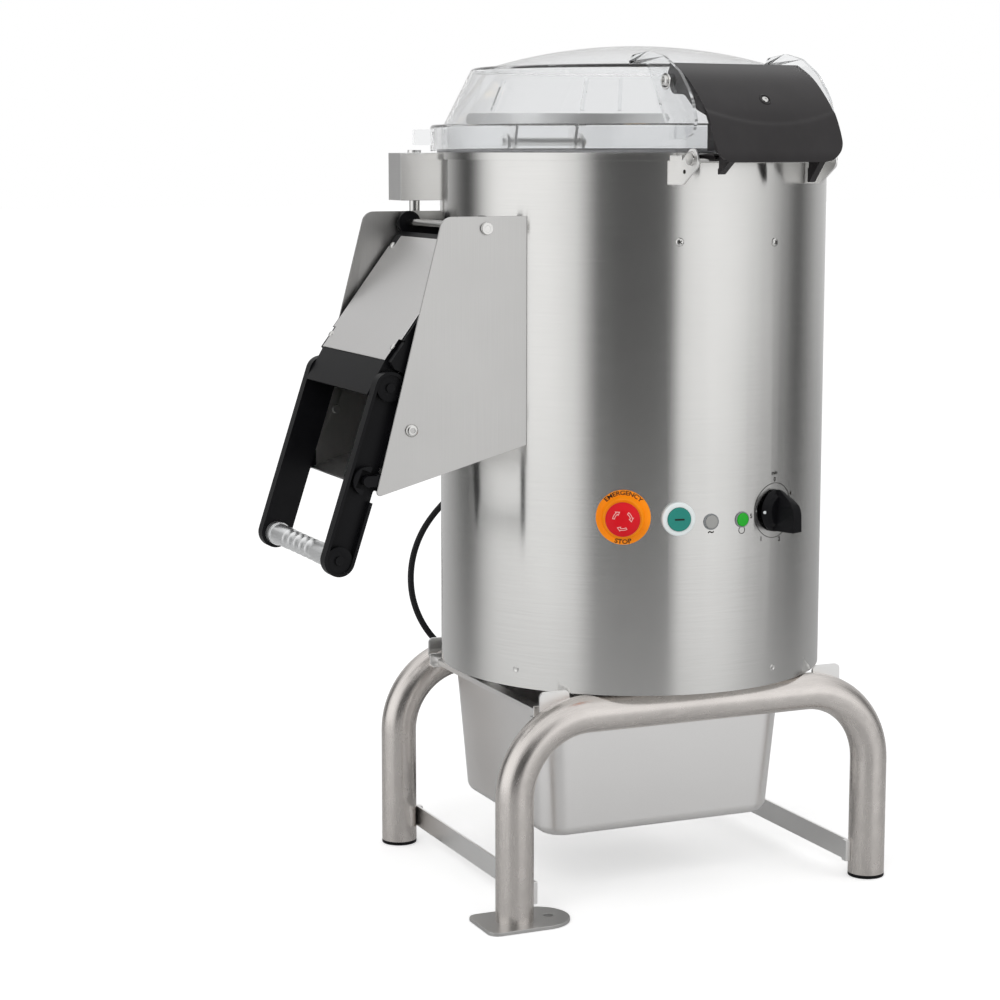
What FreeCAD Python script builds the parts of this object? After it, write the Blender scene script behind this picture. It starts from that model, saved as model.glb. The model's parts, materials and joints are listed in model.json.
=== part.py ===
import FreeCAD, Part
import math
import os

from FreeCAD import Vector

# Electric potato peeler on a tube stand, in millimetres.
# +Z is up and the floor is z = 0. The drum's axis is x = y = 0.
# The controls and the lid handle face -Y, the discharge chute faces -X.

os.makedirs("parts", exist_ok=True)

# Clearances
running_gap = 0.05
slide_gap = 0.1
seat_gap = 0.3

# Stand
tube_d = 42.4
tube_wall = 2.0
leg_span_x = 453.0
leg_span_y = 349.0
tube_bend_r = 88.0
top_tube_z = 228.5
foot_h = 4.0
cap_spigot_h = 18.0
bar_h = 25.0
bar_t = 3.0
bar_bottom_z = 18.5
bar_tab_w = 9.0
anchor_half_w = 36.0
anchor_back = 43.0
anchor_front = 64.0
anchor_corner_r = 12.0
anchor_hole_d = 11.0
anchor_hole_offset = 41.0
clip_t = 3.0
clip_reach = 36.0
clip_rise = 4.5
clip_drop = 28.0
clip_corner_r = 6.0

# Peelings pan and its rails
pan_rim_l = 340.0
pan_side_gap = 1.05
pan_rim_rise = 2.5
pan_centre_x = -18.0
pan_flange_w = 13.0
pan_lip_h = 6.5
pan_depth = 157.0
pan_taper = 11.0
pan_t = 1.5
pan_corner_r = 30.0
pan_bottom_r = 14.0
pan_travel = 360.0
rail_t = 2.0
rail_weld = 0.05
rail_h = 15.0
rail_w = 12.0
rail_l = 352.0

# Drum
drum_r = 223.0
drum_t = 1.5
drum_top_z = 842.0
drum_lift = 0.3
bead_h = 8.0
bead_out = 3.5
base_plate_t = 2.5
shelf_rise = 80.0
shelf_t = 4.0
motor_head_gap = 20.0
floor_t = 2.0
liner_t = 3.0
liner_gap = 3.0
liner_top_drop = 60.0
seal_h = 3.0
seal_w = 9.0
spout_r = 30.0
spout_t = 1.5
spout_in = 93.0
spout_y = 60.0
spout_drop = 14.0
hole_gap = 1.0

# Drive
shaft_r = 10.0
shaft_foot_rise = 34.0
disc_gap = 5.5
disc_lift = 10.0
disc_t = 8.0
disc_hub_r = 24.0
disc_hub_h = 15.0
disc_ridge_w = 46.0
disc_ridge_h = 9.0
disc_ridge_l = 150.0
housing_r = 32.0
housing_h = 80.0
housing_flange_r = 46.0
housing_flange_t = 6.0
pulley_rise = 42.0
pulley_w = 16.0
disc_pulley_r = 80.0
motor_pulley_r = 25.0
pulley_flange = 3.0
pulley_hub_r = 18.0
pulley_hub_h = 22.0
pulley_holes = 5
pulley_hole_r = 12.0
pulley_hole_circle = 48.0
motor_x = 108.0
motor_y = 62.0
motor_r = 62.0
motor_h = 158.0
motor_flange_r = 70.0
motor_flange_t = 6.0
motor_shaft_r = 7.0
motor_shaft_in = 22.0
belt_t = 4.0
belt_w = 12.0

# Chute
cheek_inner_y = 118.0
cheek_t = 2.0
cheek_top_drop = 68.0
cheek_top_out = 64.0
cheek_low_out = 143.0
cheek_low_drop = 37.0
cheek_root_rise = 12.0
cheek_root_in = 36.0
cheek_corner_r = 14.0
chute_floor_rise = 3.0
chute_floor_t = 2.0
chute_floor_back = 9.0
mouth_margin = 4.0
mouth_top_drop = 78.0
cheek_bolt_r = 5.0
cheek_bolt_h = 3.2
low_bolt_out = 101.0
low_bolt_rise = 34.0

# Discharge door
hinge_out = 13.0
hinge_drop = 81.0
hinge_r = 5.0
knuckle_r = 13.5
knuckle_w = 8.0
door_side_gap = 6.0
door_low_gap = 1.0
door_skin_t = 3.0
cover_t = 1.2
cover_margin = 5.0
door_top_out = 29.0
door_top_drop = 95.0
door_knee_out = 125.0
door_knee_rise = 108.0
door_toe_out = 144.0
door_toe_rise = 73.0
door_panel_in = 3.0
door_panel_t = 3.0
door_panel_rise = 22.0
door_panel_drop = 86.0
door_open_deg = 65.0
crank_w = 14.0
crank_gap = 1.5

# Door handle
arm_pivot_out = 122.0
arm_pivot_rise = 80.0
arm_pivot_r = 5.0
grip_out = 182.0
grip_drop = 104.0
arm_r = 17.5
arm_side_gap = 4.0
arm_t = 14.0
arm_web_t = 5.0
arm_rim_t = 3.5
arm_boss_r = 15.0
catch_out = 149.6
catch_drop = 19.4
catch_nose_r = 6.0
catch_ring_r = 16.0
catch_ring_gap = 4.2
catch_gate_gap = 4.0
catch_way_x = 0.92
catch_way_z = -0.39
catch_block_h = 21.0
catch_block_back = 20.0
catch_block_w = 9.0
grip_r = 12.0
grip_waist_r = 10.0
grip_waves = 5
grip_wave_l = 19.0
grip_collar_rise = 1.5
grip_collar_l = 12.0
arm_screw_r = 5.0
arm_screw_h = 3.0
arm_boss_drop = 2.5

# Interlock
lock_box_out = 17.0
lock_box_gap = 2.0
lock_box_w = 40.0
lock_box_drop = 56.0
lock_box_h = 55.0
lock_box_t = 2.0
lock_rod_out = 21.0
lock_rod_in = 10.0
lock_rod_r = 6.2
lock_rod_foot_rise = 4.2
lock_rod_rise = 36.0
lock_rod_drop = 6.0
lock_bolt_r = 8.0
lock_bolt_h = 3.5

# Lid
lid_t = 4.0
lid_base_in = 5.0
lid_rim_out = 11.0
lid_rim_rise = 31.0
lid_skirt_rise = 1.0
lid_shoulder_in = 37.0
lid_shelf_w = 18.0
lid_shoulder_rise = 95.0
lid_crown_rise = 120.0
lid_corner_r = 8.0
lid_rest_in = 2.0
lid_rest_t = 4.0
lid_pin_out = 29.0
lid_pin_rise = 10.0
lid_pin_r = 5.0
lid_open_deg = 95.0
lid_tab_azimuth = -120.6
lid_tab_w = 20.0
lid_tab_out = 33.0
lid_tab_low_rise = 8.0
lid_tab_top_rise = 26.0
ear_gap = 7.0
ear_t = 4.0
hinge_arm_x = 40.0
hinge_arm_t = 4.0
hinge_foot_half_l = 60.0
hinge_foot_t = 3.0
hinge_lug_x = 50.0
hinge_lug_t = 4.0
hinge_plate_t = 3.0
hinge_plate_deg = 17.0
hinge_plate_low_drop = 47.0
hinge_plate_top_drop = 12.0

# Lid handle and keeper
handle_azimuth = 7.5
handle_half_w = 85.0
handle_t = 4.0
handle_corner_r = 24.0
handle_pivot_in = 23.0
handle_pivot_rise = 75.0
handle_pivot_pin = 5.0
handle_cheek_t = 5.0
handle_swing_deg = 12.0
finger_u = 60.0
finger_t = 8.0
left_finger_drop = 24.0
right_finger_drop = 33.5
hook_gap = 3.0
toe_drop = 11.0
toe_gap = 1.2
keeper_overhang = 7.0
keeper_t = 2.5
keeper_rod_r = 5.0
keeper_reach = 24.0
keeper_drop = 6.0

# Controls
stop_azimuth = -28.6
stop_rise = 1.0
stop_legend_r = 30.0
stop_legend_t = 2.0
stop_collar_r = 24.0
stop_collar_top_r = 21.0
stop_collar_h = 7.0
stop_head_r = 19.0
stop_head_h = 10.5
stop_stem_r = 8.0
stop_travel = 4.0
start_azimuth = -13.2
start_drop = 1.0
start_bezel_r = 18.5
start_bezel_h = 6.0
start_cap_r = 13.0
start_cap_h = 3.6
start_stem_r = 5.0
start_travel = 3.0
barrel_r = 11.0
barrel_l = 42.0
supply_azimuth = -3.3
running_azimuth = 6.8
lamp_drop = 6.0
lamp_r = 7.5
lamp_h = 3.0
lamp_barrel_r = 5.0
lamp_barrel_l = 25.0
timer_azimuth = 19.1
controls_rise = 198.0
timer_bush_r = 5.0
timer_spindle_r = 3.0
timer_body_r = 20.0
timer_body_l = 40.0
knob_skirt_r = 23.5
knob_skirt_h = 4.0
knob_lift = 2.5
knob_body_r = 17.0
knob_h = 35.0
knob_fin_w = 13.0
knob_fin_foot = 22.0
knob_tip_h = 9.0
face_lift = 0.1
control_box_depth = 61.5
control_box_t = 2.0
control_box_drop = 38.0
control_box_h = 76.0
control_box_left_deg = -37.0
control_box_right_deg = 28.0

# Water inlet
inlet_x = 100.0
inlet_drop = 42.0
inlet_r = 13.2
inlet_l = 20.0
inlet_bore_r = 9.0
inlet_nut_r = 18.0
inlet_nut_t = 6.0

# Mains lead
lead_r = 4.0
gland_azimuth = -166.0
gland_drop = 8.0
gland_nut_r = 12.0
gland_nut_l = 5.0
gland_dome_r = 10.0
gland_dome_l = 20.0
coil_x = 40.0
coil_y = 296.0
coil_r = 52.8
coil_pitch = 8.8
coil_layer_h = 8.6
coil_half_turns = 4
coil_end_run = 10.0
lead_start_run = 24.0
lead_end_run = 20.0
plug_r = 18.5
plug_l = 38.0
plug_relief_l = 28.0
plug_relief_r = 7.5
plug_pin_r = 2.4
plug_pin_l = 19.0
plug_pin_gap = 19.0

# Places worked out from the sizes above
tube_r = tube_d / 2
half_x = leg_span_x / 2
half_y = leg_span_y / 2
drum_bottom_z = top_tube_z + tube_r + drum_lift
drum_inner_r = drum_r - drum_t
control_box_in_r = drum_inner_r - control_box_depth
spout_x = -drum_r + spout_in
controls_z = drum_bottom_z + controls_rise
timer_z = controls_z
shaft_bottom_z = drum_bottom_z + shaft_foot_rise
pulley_z = drum_bottom_z + pulley_rise
shelf_z = drum_bottom_z + shelf_rise
floor_top_z = shelf_z + shelf_t + motor_h + motor_head_gap
disc_bottom_z = floor_top_z + disc_lift
spout_end_z = drum_bottom_z - spout_drop
liner_top_z = drum_top_z - liner_top_drop
cheek_top_z = drum_top_z - cheek_top_drop
cheek_top_x = -drum_r - cheek_top_out
cheek_low_x = -drum_r - cheek_low_out
cheek_low_z = floor_top_z - cheek_low_drop
cheek_root_z = floor_top_z + cheek_root_rise
cheek_root_x = -drum_r + cheek_root_in
mouth_half_w = cheek_inner_y - mouth_margin
mouth_top_z = drum_top_z - mouth_top_drop
low_bolt_x = -drum_r - low_bolt_out
low_bolt_z = floor_top_z + low_bolt_rise
hinge_x = -drum_r - hinge_out
hinge_z = drum_top_z - hinge_drop
door_half_w = cheek_inner_y - door_side_gap
door_top_x = -drum_r - door_top_out
door_top_z = drum_top_z - door_top_drop
door_knee_x = -drum_r - door_knee_out
door_knee_z = floor_top_z + door_knee_rise
door_toe_x = -drum_r - door_toe_out
door_toe_z = floor_top_z + door_toe_rise
door_panel_r = drum_r - door_panel_in
door_panel_bottom_z = floor_top_z + door_panel_rise
door_panel_top_z = drum_top_z - door_panel_drop
arm_pivot_x = -drum_r - arm_pivot_out
arm_pivot_z = floor_top_z + arm_pivot_rise
grip_x = -drum_r - grip_out
grip_z = floor_top_z - grip_drop
arm_inner_y = cheek_inner_y - arm_side_gap - arm_t
catch_x = -drum_r - catch_out
catch_z = floor_top_z - catch_drop
lock_box_x = -drum_r - lock_box_out
lock_box_y = cheek_inner_y + cheek_t + lock_box_gap
lock_box_z = drum_top_z - lock_box_drop
lock_rod_x = lock_box_x + lock_rod_out
lock_rod_y = lock_box_y + lock_rod_in
lock_rod_bottom_z = hinge_z + lock_rod_foot_rise
lock_rod_top_z = lock_box_z + lock_rod_rise
lid_base_r = drum_r - lid_base_in
lid_rim_r = drum_r + lid_rim_out
lid_rim_z = drum_top_z + lid_rim_rise
lid_skirt_z = drum_top_z + lid_skirt_rise
lid_shoulder_r = drum_r - lid_shoulder_in
lid_shoulder_z = drum_top_z + lid_shoulder_rise
lid_crown_z = drum_top_z + lid_crown_rise
lid_rest_r = drum_r - lid_rest_in
lid_pin_y = drum_r + lid_pin_out
lid_pin_z = drum_top_z + lid_pin_rise
lid_tab_r = drum_r + lid_tab_out
lid_tab_low_z = drum_top_z + lid_tab_low_rise
lid_tab_top_z = drum_top_z + lid_tab_top_rise
hinge_plate_low_z = drum_top_z - hinge_plate_low_drop
hinge_plate_top_z = drum_top_z - hinge_plate_top_drop
handle_pivot_r = drum_r - handle_pivot_in
handle_pivot_z = drum_top_z + handle_pivot_rise
left_finger_z = drum_top_z - left_finger_drop
right_finger_z = drum_top_z - right_finger_drop
keeper_out = drum_r + keeper_reach
keeper_z = drum_top_z - keeper_drop
keeper_u = handle_half_w + keeper_overhang
ear_u = handle_half_w + ear_gap
stop_z = controls_z + stop_rise
start_z = controls_z - start_drop
lamp_z = controls_z - lamp_drop
control_box_low_z = controls_z - control_box_drop
inlet_z = drum_top_z - inlet_drop
gland_z = controls_z - gland_drop
pan_rim_w = 2 * (half_y - tube_r - rail_weld - rail_t - pan_side_gap)
pan_rim_z = top_tube_z + pan_rim_rise
door_low_half_w = arm_inner_y - door_low_gap
axis_z = Vector(0, 0, 1)
middle = Vector(0, 0, 0)


def from_rim(places):
    """Places given from the drum's rim (out from its wall, up from its top)."""
    return [(drum_r + place[0], drum_top_z + place[1]) + tuple(place[2:]) for place in places]


def save(name, shape):
    solids = shape.Solids
    if not solids or not shape.isValid():
        print("CHECK", name, "solids", len(solids), "valid", shape.isValid())
    if len(solids) == 1:
        shape = solids[0]
    shape.exportStep("parts/" + name + ".step")
    print(name, len(solids), round(shape.Volume))


def box(x0, x1, y0, y1, z0, z1):
    return Part.makeBox(x1 - x0, y1 - y0, z1 - z0, Vector(x0, y0, z0))


def post(radius, x, y, z0, z1):
    return Part.makeCylinder(radius, z1 - z0, Vector(x, y, z0))


def rod(radius, start, end):
    return Part.makeCylinder(radius, (end - start).Length, start, end - start)


def crosswise(radius, x, z, y0, y1):
    """A round bar along Y."""
    return rod(radius, Vector(x, y0, z), Vector(x, y1, z))


def ring(outer, inner, z0, z1):
    return post(outer, 0, 0, z0, z1).cut(post(inner, 0, 0, z0 - 1, z1 + 1))


def stud(radius, w0, w1, z):
    """A round bar pointing out of the drum's front, from w0 to w1 off its surface."""
    return rod(radius, Vector(0, -drum_r - w0, z), Vector(0, -drum_r - w1, z))


def turn(shape, azimuth):
    """Carry a shape made at the drum's front round to its azimuth, + towards +X."""
    turned = shape.copy()
    turned.rotate(middle, axis_z, azimuth)
    return turned


def outward(azimuth):
    angle = math.radians(azimuth)
    return Vector(math.sin(angle), -math.cos(angle), 0)


def mirror_y(shape):
    return shape.mirror(middle, Vector(0, 1, 0))


def mirror_x(shape):
    return shape.mirror(middle, Vector(1, 0, 0))


def outline_edges(corners, put):
    """Edges round a closed outline, its corners (a, b) or (a, b, radius) rounded."""
    count = len(corners)
    stops = []
    for index in range(count):
        here = Vector(corners[index][0], corners[index][1], 0)
        radius = corners[index][2] if len(corners[index]) > 2 else 0
        if radius == 0:
            stops.append((here, here, here))
            continue
        before = Vector(corners[index - 1][0], corners[index - 1][1], 0) - here
        after = Vector(corners[(index + 1) % count][0], corners[(index + 1) % count][1], 0) - here
        before.normalize()
        after.normalize()
        half = before.getAngle(after) / 2
        reach = radius / math.tan(half)
        inward = before + after
        inward.normalize()
        top = here + inward * (radius / math.sin(half) - radius)
        stops.append((here + before * reach, top, here + after * reach))
    edges = []
    for index in range(count):
        first, top, last = stops[index]
        if (last - first).Length > 1e-6:
            edges.append(Part.Arc(put(first), put(top), put(last)).toShape())
        following = stops[(index + 1) % count][0]
        if (following - last).Length > 1e-6:
            edges.append(Part.LineSegment(put(last), put(following)).toShape())
    return edges


def plate_xz(corners, y0, y1):
    edges = outline_edges(corners, lambda p: Vector(p.x, y0, p.y))
    return Part.Face(Part.Wire(edges)).extrude(Vector(0, y1 - y0, 0))


def plate_xy(corners, z0, z1):
    edges = outline_edges(corners, lambda p: Vector(p.x, p.y, z0))
    return Part.Face(Part.Wire(edges)).extrude(Vector(0, 0, z1 - z0))


def plate_rz(corners, u0, u1):
    """A plate standing across the drum's front: corners are (distance out, height)."""
    edges = outline_edges(corners, lambda p: Vector(u0, -p.x, p.y))
    return Part.Face(Part.Wire(edges)).extrude(Vector(u1 - u0, 0, 0))


def plate_yz(corners, x0, x1):
    edges = outline_edges(corners, lambda p: Vector(x0, p.x, p.y))
    return Part.Face(Part.Wire(edges)).extrude(Vector(x1 - x0, 0, 0))


def turned_profile(corners):
    """A solid of revolution about the drum's axis from (radius, height) corners."""
    edges = outline_edges(corners, lambda p: Vector(p.x, 0, p.y))
    return Part.Face(Part.Wire(edges)).revolve(middle, axis_z, 360)


def turned_stud(corners, z):
    """A solid of revolution about an outward axis on the drum's front: (radius, w)."""
    edges = outline_edges(corners, lambda p: Vector(p.x, -drum_r - p.y, z))
    face = Part.Face(Part.Wire(edges))
    return face.revolve(Vector(0, 0, z), Vector(0, -1, 0), 360)


def sector(inner, outer, z0, z1, first_deg, last_deg):
    """Part of a ring between two azimuths."""
    whole = ring(outer, inner, z0, z1)
    reach = outer * 2
    a = outward(first_deg) * reach
    b = outward((first_deg + last_deg) / 2) * reach
    c = outward(last_deg) * reach
    return whole.common(plate_xy([(0, 0), (a.x, a.y), (b.x, b.y), (c.x, c.y)], z0, z1))


def arc_between(start, corner, end):
    """The arc from start to end whose tangents meet at corner."""
    chord = (start + end) * 0.5
    half = (end - start).Length / 2
    rise = (corner - chord).Length
    sag = half * math.tan(math.atan2(rise, half) / 2)
    top = chord + (corner - chord) * (sag / rise)
    return Part.Arc(start, top, end).toShape()


def bent_path(points, radii):
    """Straight runs joined by tangent arcs, one radius for each inner point."""
    edges = []
    start = points[0]
    for index in range(1, len(points) - 1):
        corner = points[index]
        before = points[index - 1] - corner
        after = points[index + 1] - corner
        before.normalize()
        after.normalize()
        reach = radii[index - 1] / math.tan(before.getAngle(after) / 2)
        first = corner + before * reach
        last = corner + after * reach
        if (first - start).Length > 1e-6:
            edges.append(Part.LineSegment(start, first).toShape())
        edges.append(arc_between(first, corner, last))
        start = last
    edges.append(Part.LineSegment(start, points[-1]).toShape())
    return edges


def pipe(edges, radius):
    path = Part.Wire(edges)
    first = edges[0]
    start = first.valueAt(first.FirstParameter)
    heading = first.tangentAt(first.FirstParameter)
    circle = Part.Wire([Part.Circle(start, heading, radius).toShape()])
    return path.makePipeShell([circle], True, False)


def leg_frame(y):
    corners = [Vector(-half_x, y, foot_h), Vector(-half_x, y, top_tube_z)]
    corners += [Vector(half_x, y, top_tube_z), Vector(half_x, y, foot_h)]
    edges = bent_path(corners, [tube_bend_r, tube_bend_r])
    return pipe(edges, tube_r).cut(pipe(edges, tube_r - tube_wall))


def stretcher_bar(side):
    face_x = side * (half_x - tube_r + 0.2)
    bar = box(face_x - bar_t, face_x, -half_y, half_y, bar_bottom_z, bar_bottom_z + bar_h)
    if side < 0:
        bar = box(face_x, face_x + bar_t, -half_y, half_y, bar_bottom_z, bar_bottom_z + bar_h)
    inner_x = face_x - side * bar_t
    for end in (-1, 1):
        tab_y = end * (half_y - bar_tab_w)
        tab = box(min(inner_x, inner_x - side * 4), max(inner_x, inner_x - side * 4),
                  min(tab_y, tab_y + end * bar_tab_w), max(tab_y, tab_y + end * bar_tab_w),
                  bar_bottom_z, bar_bottom_z + bar_h)
        bar = bar.fuse(tab)
    for x in (-half_x, half_x):
        for y in (-half_y, half_y):
            bar = bar.cut(post(tube_r, x, y, 0, top_tube_z))
    return bar.removeSplitter()


def anchor_plate():
    """Plate under the front left foot, its fixing hole inboard of the leg."""
    round_x = -half_x + anchor_front - anchor_half_w
    blank = plate_xy([(-half_x - anchor_back, -half_y - anchor_half_w, anchor_corner_r),
                      (round_x, -half_y - anchor_half_w),
                      (round_x, -half_y + anchor_half_w),
                      (-half_x - anchor_back, -half_y + anchor_half_w, anchor_corner_r)], 0, foot_h)
    blank = blank.fuse(post(anchor_half_w, round_x, -half_y, 0, foot_h)).removeSplitter()
    hole_x = -half_x + anchor_hole_offset
    return blank.cut(post(anchor_hole_d / 2, hole_x, -half_y, -1, foot_h + 1))


def foot_cap(x, y):
    spigot_r = tube_r - tube_wall - slide_gap
    cap = post(tube_r, x, y, 0, foot_h)
    return cap.fuse(post(spigot_r, x, y, foot_h, foot_h + cap_spigot_h))


def drum_clip(side, y_side):
    """Upright plate welded to the tube, standing against the drum's lower edge."""
    outer_y = y_side * (half_y - tube_r / 2)
    inner_y = outer_y - y_side * clip_t
    near = math.sqrt(drum_r ** 2 - inner_y ** 2) + 1.0
    plate = plate_xz([(near, drum_bottom_z - clip_drop), (near, drum_bottom_z + clip_rise, clip_corner_r),
                      (near + clip_reach, drum_bottom_z + clip_rise, clip_corner_r),
                      (near + clip_reach, drum_bottom_z - clip_drop)],
                     min(inner_y, outer_y), max(inner_y, outer_y))
    if side < 0:
        plate = mirror_x(plate)
    return plate.cut(solid_leg(y_side)).Solids[0]


def solid_leg(y_side):
    corners = [Vector(-half_x, y_side * half_y, foot_h), Vector(-half_x, y_side * half_y, top_tube_z)]
    corners += [Vector(half_x, y_side * half_y, top_tube_z), Vector(half_x, y_side * half_y, foot_h)]
    return pipe(bent_path(corners, [tube_bend_r, tube_bend_r]), tube_r)


def pan_rail(side):
    """Angle under the pan's flange, welded to the tube's inner side."""
    back_y = half_y - tube_r - rail_weld
    low_z = pan_rim_z - pan_lip_h - seat_gap - rail_t
    x0 = pan_centre_x - rail_l / 2
    x1 = pan_centre_x + rail_l / 2
    rail = box(x0, x1, back_y - rail_t, back_y, low_z, low_z + rail_h)
    rail = rail.fuse(box(x0, x1, back_y - rail_w, back_y, low_z, low_z + rail_t)).removeSplitter()
    if side < 0:
        rail = mirror_y(rail)
    return rail


def rounded_box(length, width, radius, z):
    x0 = pan_centre_x - length / 2
    x1 = pan_centre_x + length / 2
    corners = [(x0, -width / 2, radius), (x1, -width / 2, radius)]
    corners += [(x1, width / 2, radius), (x0, width / 2, radius)]
    return Part.Wire(outline_edges(corners, lambda p: Vector(p.x, p.y, z)))


def pan_body(inset, floor_z, bottom_r):
    top_l = pan_rim_l - 2 * pan_flange_w - 2 * inset
    top_w = pan_rim_w - 2 * pan_flange_w - 2 * inset
    low_l = top_l - 2 * pan_taper
    low_w = top_w - 2 * pan_taper
    body = Part.makeLoft([rounded_box(low_l, low_w, pan_corner_r - inset, floor_z),
                          rounded_box(top_l, top_w, pan_corner_r - inset, pan_rim_z)], True, True)
    foot = [edge for edge in body.Edges if abs(edge.CenterOfMass.z - floor_z) < 0.01]
    return body.makeFillet(bottom_r, foot)


def peelings_pan():
    low_z = pan_rim_z - pan_depth
    outer = pan_body(0, low_z, pan_bottom_r)
    flange = Part.Face(rounded_box(pan_rim_l, pan_rim_w, 12, pan_rim_z - pan_lip_h))
    flange = flange.extrude(Vector(0, 0, pan_lip_h))
    under = Part.Face(rounded_box(pan_rim_l - 2 * pan_t, pan_rim_w - 2 * pan_t, 12 - pan_t,
                                  pan_rim_z - pan_lip_h - 1)).extrude(Vector(0, 0, pan_lip_h + 1 - pan_t))
    shell = outer.fuse(flange.cut(under))
    hollow = pan_body(pan_t, low_z + pan_t, pan_bottom_r - pan_t)
    return shell.cut(hollow).removeSplitter()


def inlet_bar(radius, start_y, end_y):
    """A round bar on the water inlet's axis."""
    return rod(radius, Vector(inlet_x, start_y, inlet_z), Vector(inlet_x, end_y, inlet_z))


def drum_shell():
    shell = ring(drum_r, drum_inner_r, drum_bottom_z, drum_top_z)
    shell = shell.fuse(ring(drum_r + bead_out, drum_inner_r, drum_top_z - bead_h, drum_top_z))
    shell = shell.removeSplitter()
    sill_z = chute_floor_z(-drum_r * 0.87)
    shell = shell.cut(box(-drum_r - 10, -drum_r / 2, -mouth_half_w, mouth_half_w, sill_z, mouth_top_z))
    for azimuth, z, radius in ((stop_azimuth, stop_z, barrel_r), (start_azimuth, start_z, barrel_r),
                               (supply_azimuth, lamp_z, lamp_barrel_r),
                               (running_azimuth, lamp_z, lamp_barrel_r),
                               (timer_azimuth, timer_z, timer_bush_r), (gland_azimuth, gland_z, gland_dome_r)):
        shell = shell.cut(turn(stud(radius + slide_gap, -10, 10, z), azimuth))
    inlet_hole = inlet_bar(inlet_r + slide_gap, drum_r / 2, drum_r * 2)
    return shell.cut(inlet_hole)


def chute_floor_z(x):
    slope = (cheek_root_z - cheek_low_z) / (cheek_root_x - cheek_low_x)
    return cheek_root_z + chute_floor_rise + (x - cheek_root_x) * slope


def liner():
    outer = drum_inner_r - liner_gap
    sleeve = ring(outer, outer - liner_t, floor_top_z, liner_top_z)
    return sleeve.cut(box(-drum_r, -drum_r / 2, -mouth_half_w - 2, mouth_half_w + 2,
                          chute_floor_z(-drum_r * 0.87) - 4, mouth_top_z + 4))


def liner_inner_r():
    return drum_inner_r - liner_gap - liner_t


def chamber_floor():
    disc = ring(drum_inner_r - slide_gap, shaft_r + 3, floor_top_z - floor_t, floor_top_z)
    return disc.cut(post(spout_r - spout_t, spout_x, spout_y, 0, floor_top_z + 1))


def base_plate():
    plate = post(drum_inner_r - slide_gap, 0, 0, drum_bottom_z, drum_bottom_z + base_plate_t)
    plate = plate.cut(post(spout_r + hole_gap, spout_x, spout_y, 0, drum_top_z))
    for index in range(5):
        x = 40 + index * 26
        plate = plate.cut(box(x, x + 8, -70, 70, 0, drum_bottom_z + base_plate_t + 1))
    return plate


def motor_shelf():
    shelf = ring(drum_inner_r - slide_gap, shaft_r + 12, shelf_z, shelf_z + shelf_t)
    shelf = shelf.cut(post(spout_r + hole_gap, spout_x, spout_y, 0, drum_top_z))
    return shelf.cut(post(motor_shaft_r + 12, motor_x, motor_y, 0, drum_top_z))


def motor():
    low_z = shelf_z + shelf_t
    body = post(motor_r, motor_x, motor_y, low_z + motor_flange_t, low_z + motor_h)
    body = body.fuse(post(motor_flange_r, motor_x, motor_y, low_z, low_z + motor_flange_t))
    fins = 18
    for index in range(fins):
        angle = 2 * math.pi * index / fins
        x = motor_x + motor_r * math.cos(angle)
        y = motor_y + motor_r * math.sin(angle)
        body = body.cut(post(3.0, x, y, low_z + motor_flange_t + 12, low_z + motor_h - 34))
    bore = post(motor_shaft_r + running_gap, motor_x, motor_y, 0, low_z + motor_shaft_in + slide_gap)
    return body.cut(bore)


def bearing_housing():
    top = floor_top_z - floor_t
    body = post(housing_r, 0, 0, top - housing_h, top)
    body = body.fuse(post(housing_flange_r, 0, 0, top - housing_flange_t, top)).removeSplitter()
    return body.cut(post(shaft_r + running_gap, 0, 0, 0, drum_top_z))


def pulley(radius, x, y, bore_r):
    flanges = post(radius + pulley_flange, x, y, pulley_z - 2, pulley_z)
    flanges = flanges.fuse(post(radius + pulley_flange, x, y, pulley_z + pulley_w, pulley_z + pulley_w + 2))
    body = post(radius, x, y, pulley_z, pulley_z + pulley_w)
    hub = post(max(pulley_hub_r, bore_r + 5), x, y, pulley_z - 3, pulley_z - 3 + pulley_hub_h)
    return body.fuse(flanges).fuse(hub).removeSplitter()


def disc_pulley():
    whole = pulley(disc_pulley_r, 0, 0, shaft_r)
    for index in range(pulley_holes):
        angle = 2 * math.pi * index / pulley_holes
        x = pulley_hole_circle * math.cos(angle)
        y = pulley_hole_circle * math.sin(angle)
        whole = whole.cut(post(pulley_hole_r, x, y, 0, drum_top_z))
    return whole.cut(post(shaft_r, 0, 0, 0, drum_top_z))


def motor_pulley():
    whole = pulley(motor_pulley_r, motor_x, motor_y, motor_shaft_r)
    return whole.fuse(post(motor_shaft_r, motor_x, motor_y, pulley_z - 3, shelf_z + shelf_t + motor_shaft_in))


def loop_solid(extra, z0, z1):
    """The space round both pulleys, its outline held off them by extra."""
    big = disc_pulley_r + extra
    small = motor_pulley_r + extra
    far = math.hypot(motor_x, motor_y)
    lean = math.asin((big - small) / far)
    heading = math.atan2(motor_y, motor_x)
    corners = []
    for side, radius, x, y in ((1, big, 0, 0), (1, small, motor_x, motor_y),
                               (-1, small, motor_x, motor_y), (-1, big, 0, 0)):
        angle = heading + side * (math.pi / 2 - lean)
        corners.append((x + radius * math.cos(angle), y + radius * math.sin(angle)))
    solid = plate_xy(corners, z0, z1)
    solid = solid.fuse(post(big, 0, 0, z0, z1))
    return solid.fuse(post(small, motor_x, motor_y, z0, z1)).removeSplitter()


def drive_belt():
    z0 = pulley_z + (pulley_w - belt_w) / 2
    outer = loop_solid(seat_gap + belt_t, z0, z0 + belt_w)
    return outer.cut(loop_solid(seat_gap, z0 - 1, z0 + belt_w + 1))


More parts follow.
